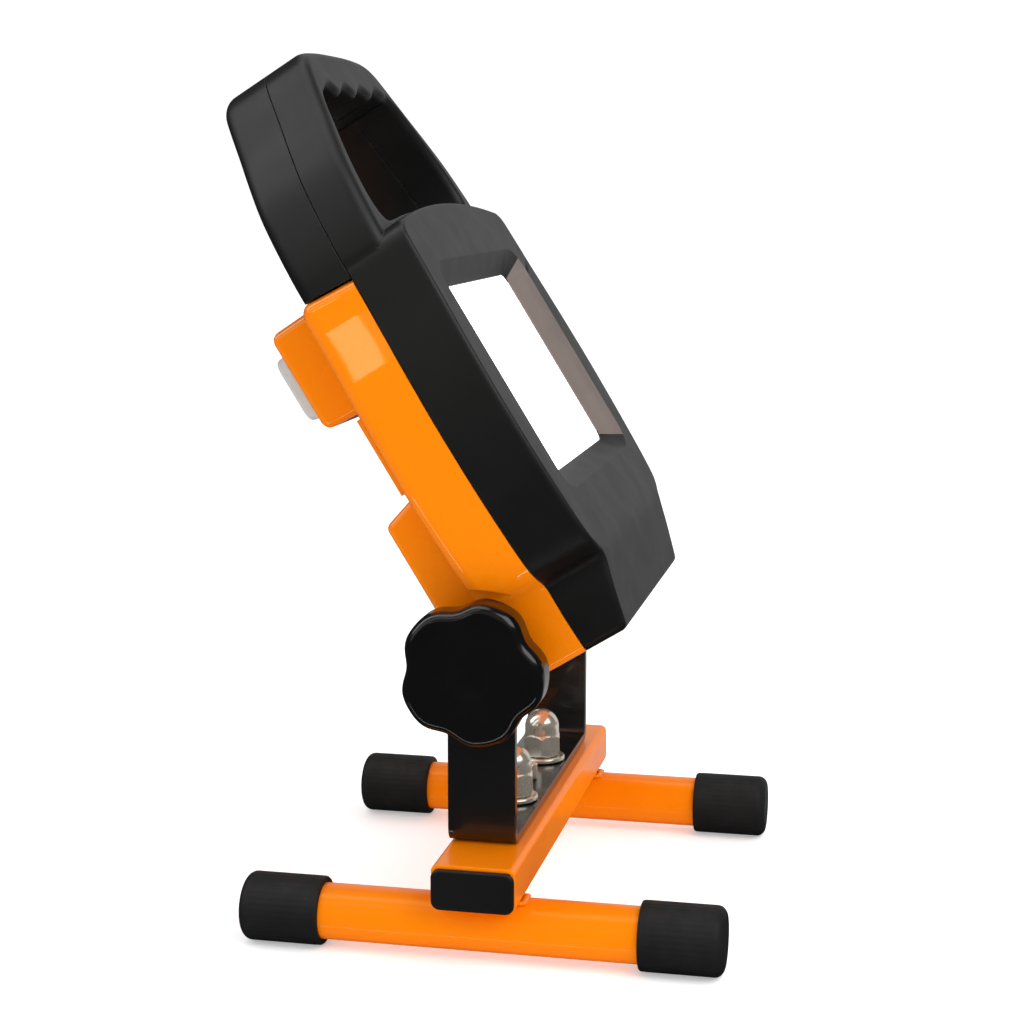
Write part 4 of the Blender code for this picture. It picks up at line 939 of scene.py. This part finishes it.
def make_boot():
    """The rubber boot over the rocker switch: a soft cushion with a shallow waist and a dip on top."""
    seat = UPPER_BOX_Z - GAP
    sides = [(0, 0), (0, 0.5), (0.05, 1.4), (0.35, 2.0), (0.5, 2.5), (0.6, 3.4), (0.8, 4.1), (1.2, 4.6),
             (1.9, 4.9), (2.8, 5.0)]
    levels = [(by, h, 4.0 - by * 0.5) for by, h in sides]
    levels += [(5.0, 5.0, 1.6), (7.0, 4.85, 1.6), (9.5, 4.8, 1.6)]
    boot = solid(loft([ring(rounded_rectangle(26 - 2 * by, 24.6 - 2 * by, radius, SWITCH_SPOT), seat - h)
                       for by, h, radius in levels]))
    space = solid(prism(rounded_rectangle(23.8, 21.8, 1.5, SWITCH_SPOT), seat - 2.9, seat + 2))
    combine(boot, [space])
    piece("switch_cover", boot, "head", "grey_boot", ["switch_boot"], HEAD)


def make_port_plug():
    """The rubber plug in the charging socket: a stem under a flat cap with a raised rim to pull it by."""
    profile = [(0, 8.4), (2.2, 8.4), (2.5, 8.0), (2.5, -GAP), (7.0, -GAP), (7.2, -0.5), (7.2, -1.2)]
    profile += [(5.8 + 1.4 * math.cos(a), -1.2 - 1.2 * math.sin(a))
                for a in (math.radians(15 * k) for k in range(1, 7))]
    profile += [(4.6, -2.4), (4.2, -2.1), (0, -2.1)]
    plug = solid(turned(profile, 72, centre=(*PORT_SPOT, UPPER_BOX_Z)))
    piece("socket_plug", plug, "port_plug", "black_rubber", ["port_plug"], HEAD)


# ---------------------------------------------------------------- knobs and pivots

def lobed(points):
    """A five-lobed star's outline."""
    outline = []
    for k in range(points):
        a = math.tau * k / points
        r = KNOB_R - 2.7 * ((1 - math.cos(5 * a)) / 2) ** 2.2
        outline.append((r * math.cos(a), r * math.sin(a)))
    return outline


def make_knobs():
    """Star knobs with a hub at the back, soft edges and a shallow dish in the face, and their washers."""
    first_lobe = 184.0
    turn = Matrix.Translation(PIVOT) @ Matrix.Rotation(math.radians(first_lobe), 4, "X") @ MM
    points, bore, back, face = 200, 3.3, 70.5, 84.0
    star = lobed(points)
    hub = [(bore, face - 5.5), (bore, back - 1.2), (bore + 0.4, back - 1.6), (8.6, back - 1.6),
           (9.0, back - 1.2), (9.0, back)]
    dish = [(13.0, 0), (8.2, 0), (7.5, 0.05), (6.9, 0.17), (6.0, 0.33), (4.2, 0.55), (2.2, 0.68)]

    def circle(r):
        return [(r * math.cos(a), r * math.sin(a)) for a in (math.tau * k / points for k in range(points))]

    steps = [([(0, 0)], face - 5.5)] + [(circle(r), x) for r, x in hub] + [(inset(star, 4.6), back)]
    steps += [(inset(star, by), back + d) for d, by in quarter(3.5, 2.4, 7)]
    steps += [(inset(star, by), face - d) for d, by in reversed(quarter(3.6, 3.2, 9))]
    steps += [(circle(r), face - d) for r, d in dish] + [([(0, 0)], face - 0.72)]
    for side, sx in SIDES:
        knob = loft([ring_x(outline, sx * x) for outline, x in steps])
        piece(f"star_knob_{side}", knob, f"knob_{side}", "knob_plastic", [f"knob_{side}"], turn)
        for node, body, name, slot in (
                (f"knob_washer_{side}", f"washer_{side}", f"steel_washer_{side}", "zinc_steel"),
                (f"friction_washer_{side}", "head", f"fibre_washer_{side}", "black_rubber")):
            low, high = node_box(node)
            r = (high.z - low.z) / 2
            profile = [(bore, low.x + 0.15), (bore + 0.15, low.x), (r - 0.2, low.x), (r, low.x + 0.2),
                       (r, high.x - 0.2), (r - 0.2, high.x), (bore + 0.15, high.x), (bore, high.x - 0.15)]
            piece(name, turned(profile, 72, "X", AXIS_SPOT, closed=True), body, slot, [node])


# ---------------------------------------------------------------- stage

# The tent's brightness and half its width in metres
TENT = 0.04
TENT_HALF = 4.0


def make_stage():
    """A pale floor, soft light all round, and cards that only gloss can see.

    The cards make a dark tent, in which a few softboxes and strips show as the highlights on the piece.
    """
    scene = bpy.context.scene
    scene.view_settings.view_transform = "Standard"
    world = bpy.data.worlds.new("studio")
    world.use_nodes = True
    background = world.node_tree.nodes["Background"]
    background.inputs["Color"].default_value = (1.0, 1.0, 1.0, 1.0)
    background.inputs["Strength"].default_value = 1.05
    scene.world = world

    floor_look = Finish("pale_floor", (0.90, 0.90, 0.90), 0.6, specular=0.1)
    floor_look.mottle(3, 0.2, (0.88, 0.88, 0.88)).gloss(8, 0.55, 0.7)
    floor_look.shader.inputs["Emission Color"].default_value = (1.0, 1.0, 1.0, 1.0)
    floor_look.shader.inputs["Emission Strength"].default_value = 0.35
    floor = solid(block((-6000, -6000, -40), (6000, 6000, CAD_BOX[0][2] * 1000 - 0.02)))
    floor.name = "floor"
    floor.data.transform(MM)
    floor.data.materials.append(floor_look.material)
    floor.visible_glossy = False

    up, ahead = (0, 0, 1), (0, 1, 0)
    for name, facing, strength, rise in (
            ("tent_far", (-1, 0, 0), TENT, up), ("tent_near", (1, 0, 0), TENT, up),
            ("tent_front", (0, 1, 0), TENT, up), ("tent_back", (0, -1, 0), TENT, up),
            ("tent_top", (0, 0, -1), TENT, ahead), ("tent_floor", (0, 0, 1), TENT / 2, ahead)):
        card(name, Vector(facing) * -TENT_HALF, (2 * TENT_HALF, 2 * TENT_HALF), facing, strength, rise)
    card("far_wall", (1.5, -0.6, 1.0), (2.6, 1.9), (-1, 0, 0), 0.62)
    card("far_floor", (0.8, -0.4, -0.02), (1.3, 1.0), (0, 0, 1), 0.52, ahead)
    card("near_wall", (-1.3, 0.3, 0.85), (2.4, 1.1), (1, 0, 0), 0.3)
    card("window_light", (-0.9, 0.402, 0.301), (0.036, 0.13), (1, 0, 0), 6.0, (0, 0.525, 0.851),
         (1.0, 0.92, 0.5))
    card("overhead", (0.0, 0.1, 1.3), (1.2, 0.5), (0, 0, -1), 2.0, ahead)
    card("strip_high", (-0.25, 0.9, 1.1), (0.45, 1.6), (0.2, -0.7, -0.66), 3.0, (0, -0.7, 0.7))
    card("strip_side", (-0.85, 0.75, 0.75), (0.25, 1.4), (0.55, -0.6, -0.5), 1.6, (0, -0.64, 0.77))
    card("strip_low", (-0.55, 0.1, -0.5), (0.06, 1.6), (0, 0, 1), 8.0, ahead)


def card(name, centre, size, facing, strength, up=(0, 0, 1), colour=(1.0, 1.0, 1.0)):
    """A flat card for reflections: size is width and height, and it faces along facing."""
    facing = Vector(facing).normalized()
    across = Vector(up).cross(facing).normalized()
    rise = facing.cross(across)
    middle = Vector(centre)
    bm = bmesh.new()
    corners = [middle + across * (sx * size[0] / 2) + rise * (sy * size[1] / 2)
               for sx, sy in ((-1, -1), (1, -1), (1, 1), (-1, 1))]
    bm.faces.new([bm.verts.new(corner) for corner in corners])
    mesh = bpy.data.meshes.new(name)
    bm.to_mesh(mesh)
    bm.free()
    look = bpy.data.materials.new(name)
    look.use_nodes = True
    tree = look.node_tree
    tree.nodes.clear()
    glow = tree.nodes.new("ShaderNodeEmission")
    glow.inputs["Color"].default_value = (*colour, 1.0)
    glow.inputs["Strength"].default_value = strength
    out = tree.nodes.new("ShaderNodeOutputMaterial")
    tree.links.new(glow.outputs[0], out.inputs["Surface"])
    mesh.materials.append(look)
    obj = bpy.data.objects.new(name, mesh)
    bpy.context.scene.collection.objects.link(obj)
    obj.visible_camera = obj.visible_diffuse = obj.visible_shadow = obj.visible_transmission = False


def lamp(name, place, aim, size, power):
    """A rectangular area light at a place, facing the point it is aimed at."""
    light = bpy.data.lights.new(name, "AREA")
    light.shape = "RECTANGLE"
    light.size, light.size_y = size
    light.energy = power
    obj = bpy.data.objects.new(name, light)
    obj.location = place
    obj.rotation_euler = (Vector(aim) - Vector(place)).to_track_quat("-Z", "Y").to_euler()
    bpy.context.scene.collection.objects.link(obj)


def make_camera():
    camera = bpy.data.cameras.new("camera")
    camera.sensor_width = 36.0
    camera.lens = 70.84
    camera.clip_start = 0.01
    obj = bpy.data.objects.new("camera", camera)
    yaw, pitch = 0.21217243, -0.16489119
    forward = Vector((math.cos(pitch) * math.cos(yaw), math.cos(pitch) * math.sin(yaw), math.sin(pitch)))
    obj.location = (-0.6880131, -0.1510619, 0.2537072)
    obj.rotation_euler = forward.to_track_quat("-Z", "Y").to_euler()
    bpy.context.scene.collection.objects.link(obj)
    bpy.context.scene.camera = obj


def dress_cad_nodes():
    """Gives each CAD node the finish of its material slot."""
    for obj in frame["nodes"].values():
        slot = obj.data.materials[0].name.split(".")[0]
        obj.data.materials[0] = LOOKS[slot]


dress_cad_nodes()
make_crossbar()
make_feet()
make_welds()
make_bracket()
make_fasteners()
make_bezel()
make_handle_rear()
make_housing()
make_heat_sink()
make_switch_box()
make_battery_box()
make_screws()
make_lens()
make_boot()
make_port_plug()
make_knobs()
make_stage()
make_camera()
lamp("key_softbox", (-0.5, -0.7, 0.9), (0, 0, 0.15), (0.8, 0.8), 6.0)
